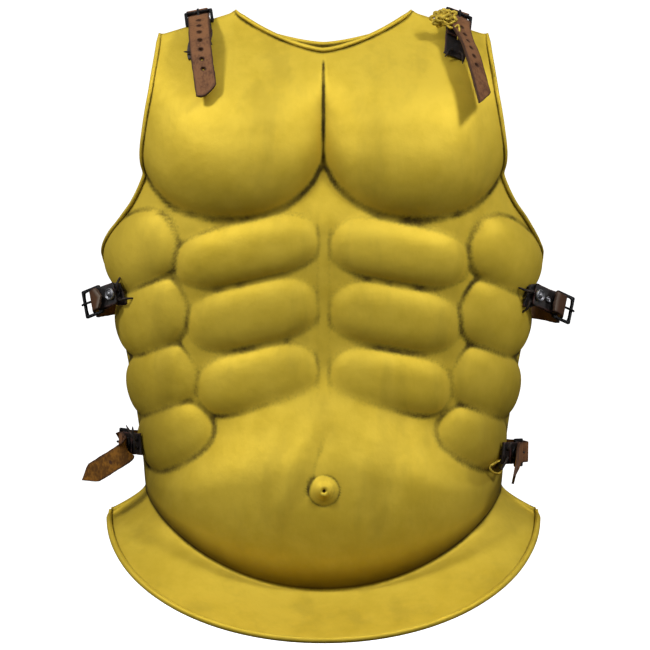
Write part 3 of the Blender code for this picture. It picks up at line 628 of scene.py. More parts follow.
def brass_finish(name, satin_and_painted_shade):
    """Hand-polished brass: soft cloudy tone, fine satin grain, dried dark polish in the hollows, and painted
    shade low on the belly and at its sides.
    """
    finish = Finish(name)
    place = finish.place()
    cloud = finish.noise(place, 9.0, 4.0)
    mottle = finish.noise(place, 55.0, 4.0)
    patches = finish.ramp(finish.noise(place, 38.0, 3.0), 0.36, 0.62)
    smear = finish.noise(finish.stretched(place, (26.0, 26.0, 9.0)), 1.0, 4.0)
    speckle = finish.noise(place, 420.0, 2.0)
    grain = finish.noise(place, 1500.0, 1.0)
    lines = finish.ramp(finish.attribute("tarnish") + (speckle - 0.5) * 0.40, 0.10, 0.82)
    dark = lines * (0.50 + patches * 0.46)
    tone = finish.blend(finish.ramp(cloud * 0.6 + mottle * 0.4, 0.38, 0.66), BRASS, BRASS_WARM)
    tone = finish.blend(finish.ramp(smear, 0.50, 0.70) * 0.28, tone, BRASS_DULL)
    # Painted shade, darkening the tone towards the patina's colour.
    tone = finish.blend(finish.attribute("painted_shade") * (0.70 + cloud * 0.36), tone, PATINA_AND_SHADE)
    colour = finish.blend(dark, tone, PATINA_AND_SHADE)
    hammered = finish.bump(mottle + smear * 1.5 + cloud * 2.5, 0.0013, 0.45)
    finish.set(Base_Color=colour,
               Specular_IOR_Level=0.12,
               Metallic=0.42 - dark * 0.3,
               Roughness=0.56 + satin_and_painted_shade + dark * 0.15 + cloud * 0.06,
               Normal=finish.bump(grain, 0.00012, 0.5, under=hammered))
    return finish.material


plate_piece("raised_breastplate", FRONT_GRID, "front", brass_finish("polished_brass", 0.0), "breastplate")


# ---------------------------------------------------------------- backplate
# The same sheet brass, raised more plainly: two shoulder blades, a furrow down the spine and a flare below.
# Nobody sees it from the front, so it is planished and left satin instead of being polished.
BACK_GRID = (96, 110, 14)
SATIN = 0.06              # how much rougher it is

plate_piece("raised_backplate", BACK_GRID, "back", brass_finish("satin_brass", SATIN), "backplate")


# ---------------------------------------------------------------- straps
# Six straps of waxed brown harness leather, edged with dark stain, four of them punched with oval holes.
# Each is riveted to the backplate and threaded through its buckle, and four have a tail that hangs free.
STRAP_WIDTH = 0.0195
STRAP_THICK = 0.0024
STAND_OFF = 0.0030        # from the backplate's middle surface to the middle of a strap on it
HOLE = (0.0042, 0.0030)   # a hole's width across and along the strap
HOLE_TURN = math.radians(24)
CLOSED_HOLE = (1.6, 0.0003)  # how much narrower the shade painted for a closed hole's slit is, and how much smaller

EDGING = 0.22             # how far a cut edge is rounded over, as a share of the thickness
PUNCH_SIDES = 14
PUNCH_TOP = 0.8           # radius of the punch's wide end: it is a cone, so a hole narrows as it goes in
GRID_STEP = 0.0016        # the mesh's steps along a strip, how many there are at least, and steps across
FEWEST_STEPS = 12
STEPS_ACROSS = 10
CORNER = (0.0010, 8)      # how far an end's corners are cut back, and the power that keeps it near them
TRIM_REACH = (3, 0.004)   # how far back the mesh gives way to a trimmed end: its size times 3, and 4 mm
# How a cut edge wavers: by how much, how quickly along the strap in radians for each metre, and across it.
WAVER = ((0.00012, 230, 1), (0.00007, 610, 2))
FAR_END = 0.004           # keeps the edge's stain off the end that is fixed down
PALE_REACH = (0.007, 0.001)  # how far from the tip the pale wear starts, and where it is full
NO_HOLE = 0.02            # the distance to a hole where there is none near

# How a strap runs through its buckle, along the strap and out from the body.
STRAP_PATH = ((0.0300, -0.0044), (0.0230, -0.0038), (0.0180, -0.0022), (0.0100, 0.0018), (0.0000, 0.0064))
# The same for the two upper side straps, which come up steeply inside the frame.
STEEP_PATH = (
    (0.0185, -0.0090),
    (0.0100, 0.0018),
    (0.0000, 0.0064),
)
OVER_RIVET = (-0.0130, 0.0078)  # where it goes next, if it has a tail
SHORT_TAIL = (-0.0105, 0.0078)  # where it ends, if it has none

# The six buckles.
#   pivot, along, outward   middle of the pivot bar, the way the frame runs from there, and the way it faces
#   rivets                  from the pivot bar back along the chape
#   seat, lift              where the chape is laced down (x, z), and the air under it there
#   tail                    where the strap's free end lies: places, each with the way across the strap
#   bridge, anchor          how it crosses to the backplate, and where it lies there (x, z)
#   tip                     its end: how much the cut slants, from how far across (1 the whole width), how
#                           long its point is, how ragged and how pale it is, and how much shade is painted on
#                           it
#   holes                   from the tip to the first hole, how many there are, their spacing, and 1 if they
#                           are open or 0 if the leather has closed over them
BUCKLES = {
    "left_shoulder": {
        "pivot": (-0.1126, -0.0635, -0.0105), "along": (-0.10, 0.82, 0.56), "outward": (-0.16, -0.56, 0.81),
        "lift": 0.0030, "rivets": (0.0165,), "seat": (-0.1105, -0.0430),
        "tail": (
            ((-0.1112, -0.0960, -0.0255), (0.99, 0.0, 0.14)),
            ((-0.1085, -0.1100, -0.0470), (0.99, 0.0, 0.12)),
            ((-0.1030, -0.1270, -0.0820), (0.99, 0.0, 0.10)),
        ),
        "bridge": (
            ((-0.1180, -0.0120, 0.0070), (1, 0, 0.2)),
            ((-0.1180, 0.0200, 0.0060), (1, 0, 0.2)),
            ((-0.1180, 0.0480, 0.0015), (1, 0, 0.1)),
        ),
        "anchor": ((-0.1180, -0.0320), (-0.1180, -0.0600)),
        "tip": (0.0095, 0.1, 0.0, 0.0008, 0.0, 0.0), "holes": (0.0275, 7, 0.0104, 1),
    },
    "right_shoulder": {
        "pivot": (0.1221, -0.0630, -0.0120), "along": (0.10, 0.80, 0.59), "outward": (0.38, -0.52, 0.76),
        "lift": 0.0030, "rivets": (0.0165,), "seat": (0.1160, -0.0440),
        "tail": (
            ((0.1275, -0.0890, -0.0260), (0.80, 0.42, -0.40)),
            ((0.1335, -0.1060, -0.0440), (0.74, 0.62, -0.24)),
            ((0.1445, -0.1320, -0.0920), (0.72, 0.66, -0.20)),
        ),
        "bridge": (
            ((0.1260, -0.0120, 0.0060), (1, 0.1, -0.3)),
            ((0.1240, 0.0200, 0.0060), (1, 0, -0.2)),
            ((0.1200, 0.0480, 0.0015), (1, 0, -0.1)),
        ),
        "anchor": ((0.1180, -0.0320), (0.1180, -0.0600)),
        "tip": (0.0165, 1.0, 0.0, 0.0002, 0.0, 0.0), "holes": (0.0440, 6, 0.0100, 1),
    },
    "upper_left": {
        "pivot": (-0.2040, -0.0490, -0.2610), "along": (-0.70, 0.66, -0.25), "outward": (-0.66, -0.75, 0.00),
        "lift": 0.0053, "rivets": (0.0165,), "seat": (-0.1776, -0.2555),
        "tail": (),
        "bridge": (
            ((-0.2110, -0.0120, -0.2665), (-0.2, 0.1, 1)),
            ((-0.2120, 0.0100, -0.2680), (0, 0, 1)),
            ((-0.2075, 0.0310, -0.2670), (0, 0, 1)),
            ((-0.1985, 0.0450, -0.2650), (0, 0, 1)),
        ),
        "anchor": ((-0.1850, -0.2630), (-0.1660, -0.2600)),
        "tip": (0.0, 1.0, 0.0070, 0.0008, 0.7, 0.62), "holes": (0.0400, 0, 0.0104, 1),
    },
    "upper_right": {
        "pivot": (0.2137, -0.0360, -0.2655), "along": (0.70, 0.65, -0.29), "outward": (0.68, -0.73, 0.00),
        "lift": 0.0063, "rivets": (0.0260, 0.0140), "seat": (0.1796, -0.2575),
        "tail": (),
        "bridge": (
            ((0.2200, -0.0010, -0.2720), (0.2, 0.1, 1)),
            ((0.2205, 0.0160, -0.2735), (0, 0, 1)),
            ((0.2125, 0.0335, -0.2715), (0, 0, 1)),
            ((0.2010, 0.0450, -0.2690), (0, 0, 1)),
        ),
        "anchor": ((0.1850, -0.2660), (0.1660, -0.2630)),
        "tip": (0.0, 1.0, 0.0006, 0.0006, 0.45, 0.78), "holes": (0.0400, 0, 0.0104, 1),
    },
    "lower_left": {
        "pivot": (-0.1830, -0.0147, -0.3942), "along": (-0.34, 0.94, 0.00), "outward": (-0.94, -0.34, 0.05),
        "lift": 0.0020, "rivets": (0.0165,), "seat": (-0.1585, -0.3925),
        "tail": (
            ((-0.1850, -0.0330, -0.3955), (0.0, 0.2, 1.0)),
            ((-0.1815, -0.0410, -0.3985), (-0.3, 0.2, 0.9)),
            ((-0.1820, -0.0450, -0.4020), (-0.5, 0.1, 0.85)),
            ((-0.1900, -0.0475, -0.4075), (-0.56, 0.0, 0.82)),
            ((-0.2214, -0.0480, -0.4271), (-0.56, 0.0, 0.82)),
        ),
        "bridge": (((-0.1900, 0.0150, -0.3940), (0, 0, 1)), ((-0.1790, 0.0290, -0.3940), (0, 0, 1))),
        "anchor": ((-0.1600, -0.3945), (-0.1430, -0.3960)),
        "tip": (0.0, 1.0, 0.0120, 0.0002, 0.0, 0.0), "holes": (0.0310, 1, 0.0104, 0),
    },
    "lower_right": {
        "pivot": (0.1779, -0.0175, -0.4035), "along": (0.33, 0.94, -0.03), "outward": (0.94, -0.33, 0.00),
        "lift": 0.0035, "rivets": (0.0165,), "seat": (0.1560, -0.4010),
        "tail": (
            ((0.1785, -0.0430, -0.4080), (0.05, 0.2, 0.98)),
            ((0.1755, -0.0620, -0.4130), (0.16, 0.25, 0.95)),
            ((0.1712, -0.1000, -0.4205), (0.24, 0.25, 0.93)),
        ),
        "bridge": (((0.1915, 0.0150, -0.4040), (0, 0, 1)), ((0.1800, 0.0290, -0.4030), (0, 0, 1))),
        "anchor": ((0.1600, -0.4020), (0.1430, -0.4020)),
        "tip": (0.0, 1.0, 0.0080, 0.0002, 0.0, 0.0), "holes": (0.0240, 2, 0.0104, 1),
    },
}


def facing_matrix(origin, along, outward):
    """Local x runs along the strap, y across it, z away from the body."""
    x_axis = Vector(along).normalized()
    z_axis = (Vector(outward) - x_axis * Vector(outward).dot(x_axis)).normalized()
    turn = Matrix((x_axis, z_axis.cross(x_axis), z_axis)).transposed().to_4x4()
    return Matrix.Translation(Vector(origin)) @ turn


BUCKLE_TURNS = {name: facing_matrix(buckle["pivot"], buckle["along"], buckle["outward"])
                for name, buckle in BUCKLES.items()}


def turned(matrix, direction):
    """A direction of the buckle's own, in the cuirass's directions."""
    return (matrix.to_3x3() @ Vector(direction)).normalized()


def same_way(side, across):
    """A direction across the strap, turned round if it points against across."""
    return Vector(side) if Vector(side).dot(across) > 0 else -Vector(side)


def at_buckle(matrix, path, across):
    """Stations of a path of (along, out) places at a buckle, each with the way across."""
    return [(matrix @ Vector((x, 0, z)), across) for x, z in path]


def on_plate(x, z, side):
    """A point of a plate's middle surface, and the direction that the plate faces there."""
    point, facing = plate_point(np.array([x]), np.array([z]), side)
    return Vector(point[0]), Vector(facing[0])


def route(stations, steps=12):
    """Points, side directions and lengths along a smooth curve through (place, side) stations."""
    places = np.array([[*place, *side] for place, side in stations], float)
    last = len(places) - 1
    made = []
    for index in range(last):
        around = places[[max(index - 1, 0), index, index + 1, min(index + 2, last)]]
        for t in np.arange(steps) / steps:
            weights = np.array(((-t + 2 * t**2 - t**3), (2 - 5 * t**2 + 3 * t**3), (t + 4 * t**2 - 3 * t**3),
                                (t**3 - t**2))) / 2
            made.append(weights @ around)
    made = np.array(made + [places[-1]])
    lengths = np.concatenate([[0.0], np.cumsum(np.linalg.norm(np.diff(made[:, :3], axis=0), axis=1))])
    return made[:, :3], made[:, 3:], lengths


def punched(shape, holes, thickness):
    """The same flat blank with its holes punched and its edges rounded over, as a bmesh."""
    flat = bpy.data.objects.new("blank", bpy.data.meshes.new("blank"))
    shape.to_mesh(flat.data)
    shape.free()
    bpy.context.scene.collection.objects.link(flat)
    wall = flat.modifiers.new("thickness", "SOLIDIFY")
    wall.thickness = thickness
    wall.offset = 0.0
    edging = flat.modifiers.new("edging", "BEVEL")
    edging.width = thickness * EDGING
    edging.segments = 2
    edging.limit_method = "ANGLE"
    punch = bpy.data.objects.new("punch", bpy.data.meshes.new("punch"))
    bpy.context.scene.collection.objects.link(punch)
    if holes:
        tool = bmesh.new()
        for along, across, length, width, turn in holes:
            if not length:
                continue
            place = Matrix.Translation((along, across, 0)) @ Matrix.Rotation(turn, 4, "Z")
            bmesh.ops.create_cone(tool, cap_ends=True, segments=PUNCH_SIDES, radius1=0.0, radius2=PUNCH_TOP,
                                  depth=2 * thickness, matrix=place @ Matrix.Diagonal((length, width, 1, 1)))
        tool.to_mesh(punch.data)
        tool.free()
        drilled = flat.modifiers.new("holes", "BOOLEAN")
        drilled.object = punch
        drilled.operation = "DIFFERENCE"
    made = bmesh.new()
    made.from_mesh(flat.evaluated_get(bpy.context.evaluated_depsgraph_get()).to_mesh())
    for used in (flat, punch):
        mesh = used.data
        bpy.data.objects.remove(used)
        bpy.data.meshes.remove(mesh)
    return made


def from_hole(along, across, cut):
    """How far a place lies from a hole's middle.  One that has closed over counts as further and narrower."""
    if cut[2]:
        return math.dist((along, across), cut[:2])
    return math.hypot((along - cut[0]) * CLOSED_HOLE[0], across - cut[1]) + CLOSED_HOLE[1]


def cut_strip(name, stations, width, thickness, tip, holes, finish, replaced):
    """A strip of leather: cut flat, trimmed, punched, then bent along its route."""
    places, sides, lengths = route(stations)
    length = lengths[-1]
    slant, start, point, ragged, pale, shade_over_strap = tip
    dice = random.Random(name)
    tears = [dice.uniform(-1, 1) for _ in range(STEPS_ACROSS + 1)]
    times, more = TRIM_REACH
    trim_start = length - times * (abs(slant) + point) - more
    blank = bmesh.new()
    bmesh.ops.create_grid(blank, x_segments=max(int(length / GRID_STEP), FEWEST_STEPS),
                          y_segments=STEPS_ACROSS, size=0.5)
    for vert in blank.verts:
        along, share = (vert.co.x + 0.5) * length, vert.co.y * 2
        corner = CORNER[0] * abs(share) ** CORNER[1]
        torn = ragged * tears[round((share + 1) * STEPS_ACROSS / 2)]
        trim = slant * max(start - share, 0) / (start + 1) + point * abs(share) + corner + torn
        waver = sum(size * math.sin(along * pitch + turn * share) for size, pitch, turn in WAVER)
        vert.co = (along - trim * smooth(trim_start, length, along), share * width / 2 + waver * share**2, 0)
    cuts = [(length - from_tip, across, along_size, across_size, turn)
            for from_tip, across, along_size, across_size, turn in holes]
    strip = punched(blank, cuts, thickness)
    margin = strip.verts.layers.float.new("margin")
    hole = strip.verts.layers.float.new("hole")
    flesh = strip.verts.layers.float.new("flesh")
    worn = strip.verts.layers.float.new("worn")
    strap_shade = strip.verts.layers.float.new("strap_shade")
    for vert in strip.verts:
        along, across, out = vert.co
        share = max(min(across * 2 / width, 1.0), -1.0)
        end = length - slant * max(start - share, 0) / (start + 1) - point * abs(share) - along
        vert[margin] = min(width / 2 - abs(across), end, along + FAR_END)
        vert[hole] = min([from_hole(along, across, cut) for cut in cuts] + [NO_HOLE])
        vert[flesh] = 1.0 if out < 0 else 0.0
        vert[worn] = pale * float(smooth(*PALE_REACH, end))
        vert[strap_shade] = shade_over_strap
        index = min(int(np.searchsorted(lengths, along, side="right")) - 1, len(places) - 2)
        t = (along - lengths[index]) / (lengths[index + 1] - lengths[index])
        before, after = max(index - 1, 0), min(index + 2, len(places) - 1)
        ahead = [places[index + 1] - places[before], places[after] - places[index]]
        ahead = [way / np.linalg.norm(way) for way in ahead]
        tangent = Vector(ahead[0] * (1 - t) + ahead[1] * t)
        side = Vector(sides[index] * (1 - t) + sides[index + 1] * t)
        tangent.normalize()
        side = (side - tangent * side.dot(tangent)).normalized()
        place = Vector(places[index] * (1 - t) + places[index + 1] * t)
        vert.co = place + side * across + side.cross(tangent) * out
    finish_piece(name, strip, finish, replaced, math.radians(45))


LEATHER = (0.222, 0.097, 0.039)
LEATHER_DARK = (0.105, 0.044, 0.020)
EDGE_STAIN_AND_SHADE = (0.050, 0.022, 0.013)
FLESH_SIDE = (0.285, 0.118, 0.013)
FLESH_DARK = (0.112, 0.045, 0.006)
WORN_LEATHER = (0.30, 0.25, 0.20)


def strap_finish(name):
    """Waxed leather: pebbled grain, stretch marks, stained edges, painted shade in and round its holes and
    over the upper straps, and a rough flesh side.
    """
    finish = Finish(name)
    place = finish.place()
    cloud = finish.noise(place, 70.0, 3.0)
    fibre = finish.noise(finish.stretched(place, (520.0, 520.0, 240.0)), 1.0, 3.0)
    pebble = finish.noise(place, 1400.0, 2.0)
    edge = finish.ramp(finish.attribute("margin") + (cloud - 0.5) * 0.002, 0.0030, 0.0004)
    cut = finish.ramp(finish.attribute("margin"), 0.0014, 0.0005)
    # Shade painted in and round each hole, and as a dark slit where a hole has closed.
    rim = finish.ramp(finish.attribute("hole"), 0.0036, 0.0019)
    tone = finish.blend(finish.ramp(cloud * 0.5 + fibre * 0.5, 0.32, 0.56), LEATHER_DARK, LEATHER)
    rough_side = finish.blend(finish.ramp(cloud * 0.5 + fibre * 0.5, 0.38, 0.60), FLESH_DARK, FLESH_SIDE)
    tone = finish.blend(finish.attribute("flesh"), tone, rough_side)
    # Shade painted over the whole of the two upper straps.
    tone = finish.blend(finish.attribute("strap_shade"), tone, EDGE_STAIN_AND_SHADE)
    tone = finish.blend(edge * 0.45, tone, EDGE_STAIN_AND_SHADE)
    tone = finish.blend(finish.attribute("worn"), tone, WORN_LEATHER)
    tone = finish.blend(cut * 0.85, tone, EDGE_STAIN_AND_SHADE)
    colour = finish.blend(rim * 0.85, tone, EDGE_STAIN_AND_SHADE)
    grain = finish.bump(pebble * 0.6 + fibre * 0.4, 0.00016, 0.6)
    finish.set(Base_Color=colour, Specular_IOR_Level=0.22, Roughness=0.60 + pebble * 0.12, Normal=grain)
    return finish.material


brown_leather = strap_finish("waxed_leather")

for name, buckle in BUCKLES.items():
    matrix = BUCKLE_TURNS[name]
    across = turned(matrix, (0, 1, 0))
    start, end = (Vector(place) for place in buckle["anchor"])
    general = same_way(buckle["bridge"][-1][1], across)
    stations = []
    for share in (1.0, 0.5, 0.0):
        spot, facing = on_plate(*start.lerp(end, share), "back")
        stations.append((spot + facing * STAND_OFF, general - facing * general.dot(facing)))
    stations += [(place, same_way(side, across)) for place, side in buckle["bridge"][::-1]]
    path = (*STRAP_PATH, OVER_RIVET) if buckle["tail"] else (*STEEP_PATH, SHORT_TAIL)
    stations += at_buckle(matrix, path, across)
    stations += [(place, same_way(side, across)) for place, side in buckle["tail"]]
    first_hole, count, spacing, opened = buckle["holes"]
    holes = [(first_hole + spacing * number, 0.0, HOLE[1] * opened, HOLE[0] * opened, HOLE_TURN)
             for number in range(count)]
    cut_strip(name + "_leather_strap", stations, STRAP_WIDTH, STRAP_THICK, buckle["tip"], holes,
              brown_leather, name + "_strap")


# ---------------------------------------------------------------- chapes
# Short tabs of black leather, each folded round a pivot bar, slotted for the tongue, riveted and laced down.
# Waxed and creased from use, with patches of dull red painted along its edges as a highlight.
CHAPE_WIDTH = 0.0200
CHAPE_THICK = 0.0018
CHAPE_SLOT = (0.0122, 0.0042)  # the slot for the tongue: its length and width
CHAPE_LAYER = 0.0012      # how far each of its two layers lies from the fold's middle
CHAPE_SEAT = 0.0060       # how far it runs on past its lace
RIVET_ROOM = 0.0030       # flat leather before and behind a rivet
CHAPE_END = 0.0058        # from the last rivet to the chape's end
# The fold round the pivot bar, along the strap and out from the body.
CHAPE_FOLD = (
    (-0.0105, -0.0014), (-0.0060, -0.0025), (-0.0010, -0.0033), (0.0024, -0.0023), (0.0033, 0.0000),
    (0.0024, 0.0023), (-0.0010, 0.0033), (-0.0060, 0.0025), (-0.0105, 0.0014),
)
BLACK_LEATHER = (0.0085, 0.0062, 0.0060)
SCUFFED_LEATHER = (0.022, 0.013, 0.011)
EDGE_HIGHLIGHT_RED = (0.085, 0.028, 0.022)


def chape_finish(name):
    """Black leather, creased and pebbled, with patches of dull red painted along its edges as a highlight."""
    finish = Finish(name)
    place = finish.place()
    cloud = finish.noise(place, 130.0, 4.0)
    crease = finish.noise(finish.stretched(place, (500.0, 500.0, 260.0)), 1.0, 4.0)
    pebble = finish.noise(place, 1500.0, 2.0)
    # A highlight painted in dull red, in patches along every edge.
    edge_highlight = finish.ramp(finish.attribute("margin") + (cloud - 0.5) * 0.004, 0.0022, 0.0002)
    tone = finish.blend(finish.ramp(cloud, 0.45, 0.75), BLACK_LEATHER, SCUFFED_LEATHER)
    colour = finish.blend(edge_highlight * finish.ramp(cloud, 0.40, 0.62) * 0.85, tone, EDGE_HIGHLIGHT_RED)
    creased = finish.bump(crease + pebble * 0.4, 0.00030, 0.7)
    finish.set(Base_Color=colour, Specular_IOR_Level=0.45, Roughness=0.40 + cloud * 0.25, Normal=creased)
    return finish.material


black_leather = chape_finish("black_leather")
laid_down = {}
for name, buckle in BUCKLES.items():
    matrix = BUCKLE_TURNS[name]
    across = turned(matrix, (0, 1, 0))
    seat, facing = on_plate(*buckle["seat"], "front")
    seat_across = (across - facing * across.dot(facing)).normalized()
    inward = facing.cross(seat_across).normalized()
    if inward.dot(turned(matrix, (1, 0, 0))) > 0:
        inward = -inward
    laid_down[name] = (seat, inward, seat_across, facing)
    rest = seat + facing * (SHEET / 2 + buckle["lift"] + CHAPE_THICK / 2)
    furthest = -max(buckle["rivets"])
    stations = [(rest + inward * CHAPE_SEAT, seat_across), (rest, seat_across)]
    under = [(furthest + shift, -CHAPE_LAYER) for shift in (-RIVET_ROOM, RIVET_ROOM)]
    over = [(furthest + shift, CHAPE_LAYER) for shift in (RIVET_ROOM, -CHAPE_END)]
    stations += at_buckle(matrix, (*under, *CHAPE_FOLD, *over), across)
    places, _, lengths = route(stations)
    fold = matrix @ Vector((max(x for x, _ in CHAPE_FOLD), 0, 0))
    nearest = lengths[int(np.argmin(np.linalg.norm(places - np.array(fold), axis=1)))]
    slot = (lengths[-1] - nearest, 0.0, *CHAPE_SLOT, 0.0)
    square_end = (0.0, 1.0, 0.0, 0.0, 0.0, 0.0)
    cut_strip(name + "_folded_chape", stations, CHAPE_WIDTH, CHAPE_THICK, square_end, [slot],
              black_leather, name + "_chape")


# ---------------------------------------------------------------- buckle frames and tongues
# Square bar of blackened steel, forged into a rectangle, with soft corners where the black has worn to grey.
# The tongue is round wire, wrapped once round the pivot bar and flattened at its end.
FRAME_LENGTH = 0.0245
FRAME_WIDTH = 0.0262
FRAME_BAR = 0.0027
OUTER_BAR = FRAME_LENGTH - FRAME_BAR
FRAME_CORNER = 0.0016     # radius of its corners
FRAME_EDGE = 0.00055      # how far its sharp edges are rounded over
TONGUE_RADIUS = 0.0011
TONGUE_TIP = 0.0060       # the length that is hammered flat, and by how much
TONGUE_FLAT = 0.45
# From the wrap round the pivot bar to the tip, along the strap and out from the body.
TONGUE_PATH = (
    (-0.0012, 0.0033), (-0.0031, 0.0018), (-0.0034, -0.0006), (-0.0016, -0.0031), (0.0016, -0.0030),
    (0.0040, -0.0006), (0.0064, 0.0004), (0.0098, 0.0018), (0.0130, 0.0028), (0.0218, 0.0028),
    (0.0238, 0.0024),
)


STEEL_BLACK = (0.016, 0.016, 0.017)
STEEL_RUBBED = (0.060, 0.060, 0.064)
STEEL_BRIGHT = (0.30, 0.30, 0.32)
STEEL_GREY = (0.16, 0.16, 0.17)


def steel_finish(name, base, worn):
    """Steel that is one tone where it is kept and another in worn patches, with fine scratches along it."""
    finish = Finish(name)
    place = finish.place()
    cloud = finish.noise(place, 240.0, 4.0)
    scratch = finish.noise(finish.stretched(place, (2600.0, 700.0, 700.0)), 1.0, 3.0)
    colour = finish.blend(finish.ramp(cloud, 0.46, 0.72), base, worn)
    finish.set(Base_Color=colour, Metallic=0.85, Roughness=0.34 + scratch * 0.22,
               Normal=finish.bump(scratch + cloud, 0.00012, 0.6))
    return finish.material


def headings(places):
    """The way that a route runs at each of its places."""
    last = len(places) - 1
    return [Vector(places[min(index + 1, last)] - places[max(index - 1, 0)]).normalized()
            for index in range(len(places))]


def drawn(places, sections, segments):
    """A rod drawn through places, as a bmesh.  A section is the two half widths across it, as vectors."""
    rod = bmesh.new()
    bmesh.ops.create_circle(rod, cap_ends=True, segments=segments, radius=1.0)
    here = rod.verts[:]
    ring = rod.edges[:]
    outline = [vert.co.copy() for vert in here]
    for index, (place, (aside, up)) in enumerate(zip(places, sections)):
        if index > 0:
            made = bmesh.ops.extrude_edge_only(rod, edges=ring)["geom"]
            verts = [part for part in made if isinstance(part, bmesh.types.BMVert)]
            fresh = {next(edge.other_vert(vert) for edge in vert.link_edges if edge.other_vert(vert) in here):
                     vert for vert in verts}
            ring = [part for part in made if isinstance(part, bmesh.types.BMEdge)
                    and part.verts[0] in fresh.values() and part.verts[1] in fresh.values()]
            here = [fresh[vert] for vert in here]
        for vert, corner in zip(here, outline):
            vert.co = Vector(place) + aside * corner.x + up * corner.y
    bmesh.ops.edgeloop_fill(rod, edges=ring)
    bmesh.ops.recalc_face_normals(rod, faces=rod.faces)
    return rod


black_steel = steel_finish("blackened_steel", STEEL_BLACK, STEEL_RUBBED)
worn_steel = steel_finish("worn_steel", STEEL_BRIGHT, STEEL_GREY)

for name, buckle in BUCKLES.items():
    matrix = BUCKLE_TURNS[name]
    shape = bmesh.new()
    bmesh.ops.create_grid(shape, x_segments=1, y_segments=1, size=0.5,
                          matrix=Matrix.Translation((OUTER_BAR / 2, 0, -FRAME_BAR / 2))
                          @ Matrix.Diagonal((FRAME_LENGTH, FRAME_WIDTH, 1, 1)))
    bmesh.ops.bevel(shape, geom=shape.verts[:], offset=FRAME_CORNER, segments=4, profile=0.5, material=-1,
                    affect="VERTICES")
    window = shape.faces[:]
    bmesh.ops.inset_region(shape, faces=window, thickness=FRAME_BAR, use_even_offset=True, use_boundary=True)
    bmesh.ops.delete(shape, geom=window, context="FACES")
    raised = bmesh.ops.extrude_face_region(shape, geom=shape.faces[:])["geom"]
    for part in raised:
        if isinstance(part, bmesh.types.BMVert):
            part.co.z += FRAME_BAR
    bmesh.ops.recalc_face_normals(shape, faces=shape.faces)
    sharp = [edge for edge in shape.edges if edge.calc_face_angle(0.0) > math.radians(60)]
    bmesh.ops.bevel(shape, geom=sharp, offset=FRAME_EDGE, segments=3, profile=0.5, material=-1,
                    affect="EDGES")
    shape.transform(matrix)
    finish_piece(name + "_forged_frame", shape, black_steel, name + "_frame", math.radians(40))

    places, _, lengths = route(at_buckle(matrix, TONGUE_PATH, (0, 0, 0)), 5)
    sideways = turned(matrix, (0, 1, 0))
    sections = []
    for ahead, length in zip(headings(places), lengths):
        flat = 1 - TONGUE_FLAT * float(smooth(lengths[-1] - TONGUE_TIP, lengths[-1], length))
        up = sideways.cross(ahead).normalized()
        sections.append((sideways * TONGUE_RADIUS, up * (TONGUE_RADIUS * flat)))
    tongue = drawn(places, sections, 10)
    finish_piece(name + "_wire_tongue", tongue, black_steel, name + "_tongue", math.radians(50))


# ---------------------------------------------------------------- rivets
# Domed rivets on cupped steel washers, peened from behind.  Those at the upper sides are worn bright.
# Turned in one profile: the dome, the dark groove round it, and the washer's raised lip.
RIVET_HEAD = 0.0056       # radius of the washer
RIVET_PROFILE = (         # distance from the middle and height, as shares of that
    (0.00, 0.58), (0.18, 0.56), (0.36, 0.47), (0.48, 0.32), (0.53, 0.17), (0.60, 0.12),
    (0.70, 0.14), (0.78, 0.26), (0.86, 0.34), (0.94, 0.30), (1.00, 0.16), (1.00, 0.00),
)
STRAP_RIVET_HEAD = 0.8 * RIVET_HEAD
RIVET_SHANK = 0.0014
RIVET_BURR = 0.0008       # thickness of the peened end, and how much wider than the shank it is
BURR_SPREAD = 1.6
GAP = 0.0008              # air under a rivet's head and over its peened end


def turn_rivet(name, place, head, length, finish, replaced):
    """A rivet turned in one piece: its head is at the place, and its shank goes through and is peened."""
    burr = BURR_SPREAD * RIVET_SHANK
    foot = -length - RIVET_BURR
    profile = [(radius * head, height * head) for radius, height in RIVET_PROFILE]
    profile += [(RIVET_SHANK, 0.0), (RIVET_SHANK, -length), (burr, -length), (burr, foot), (0.0, foot)]
    shape = bmesh.new()
    verts = [shape.verts.new((radius, 0.0, height)) for radius, height in profile]
    edges = [shape.edges.new(pair) for pair in zip(verts, verts[1:])]
    bmesh.ops.spin(shape, geom=verts + edges, cent=(0, 0, 0), axis=(0, 0, 1), angle=2 * math.pi, steps=28,
                   use_merge=True)
    bmesh.ops.remove_doubles(shape, verts=shape.verts, dist=0.00001)
    bmesh.ops.recalc_face_normals(shape, faces=shape.faces)
    shape.transform(place)
    finish_piece(name, shape, finish, replaced, math.radians(50))


for name, buckle in BUCKLES.items():
    matrix = BUCKLE_TURNS[name]
    bright = worn_steel if name.startswith("upper") else black_steel
    top = CHAPE_LAYER + CHAPE_THICK / 2 + GAP
    for number, back in enumerate(buckle["rivets"], 1):
        head = RIVET_HEAD if number == 1 else RIVET_HEAD / 2
        seated = matrix @ Matrix.Translation((-back, 0, top))
        turn_rivet(f"{name}_domed_rivet_{number}", seated, head, 2 * top, bright, f"{name}_rivet_{number}")
    start, end = (Vector(place) for place in buckle["anchor"])
    spot, facing = on_plate(*start.lerp(end, 0.5), "back")
    top = STAND_OFF + STRAP_THICK / 2 + GAP
    turn = facing.to_track_quat("Z", "Y").to_matrix().to_4x4()
    turn_rivet(name + "_domed_strap_rivet", Matrix.Translation(spot + facing * top) @ turn,
               STRAP_RIVET_HEAD, top + SHEET / 2 + GAP, black_steel, name + "_strap_rivet")


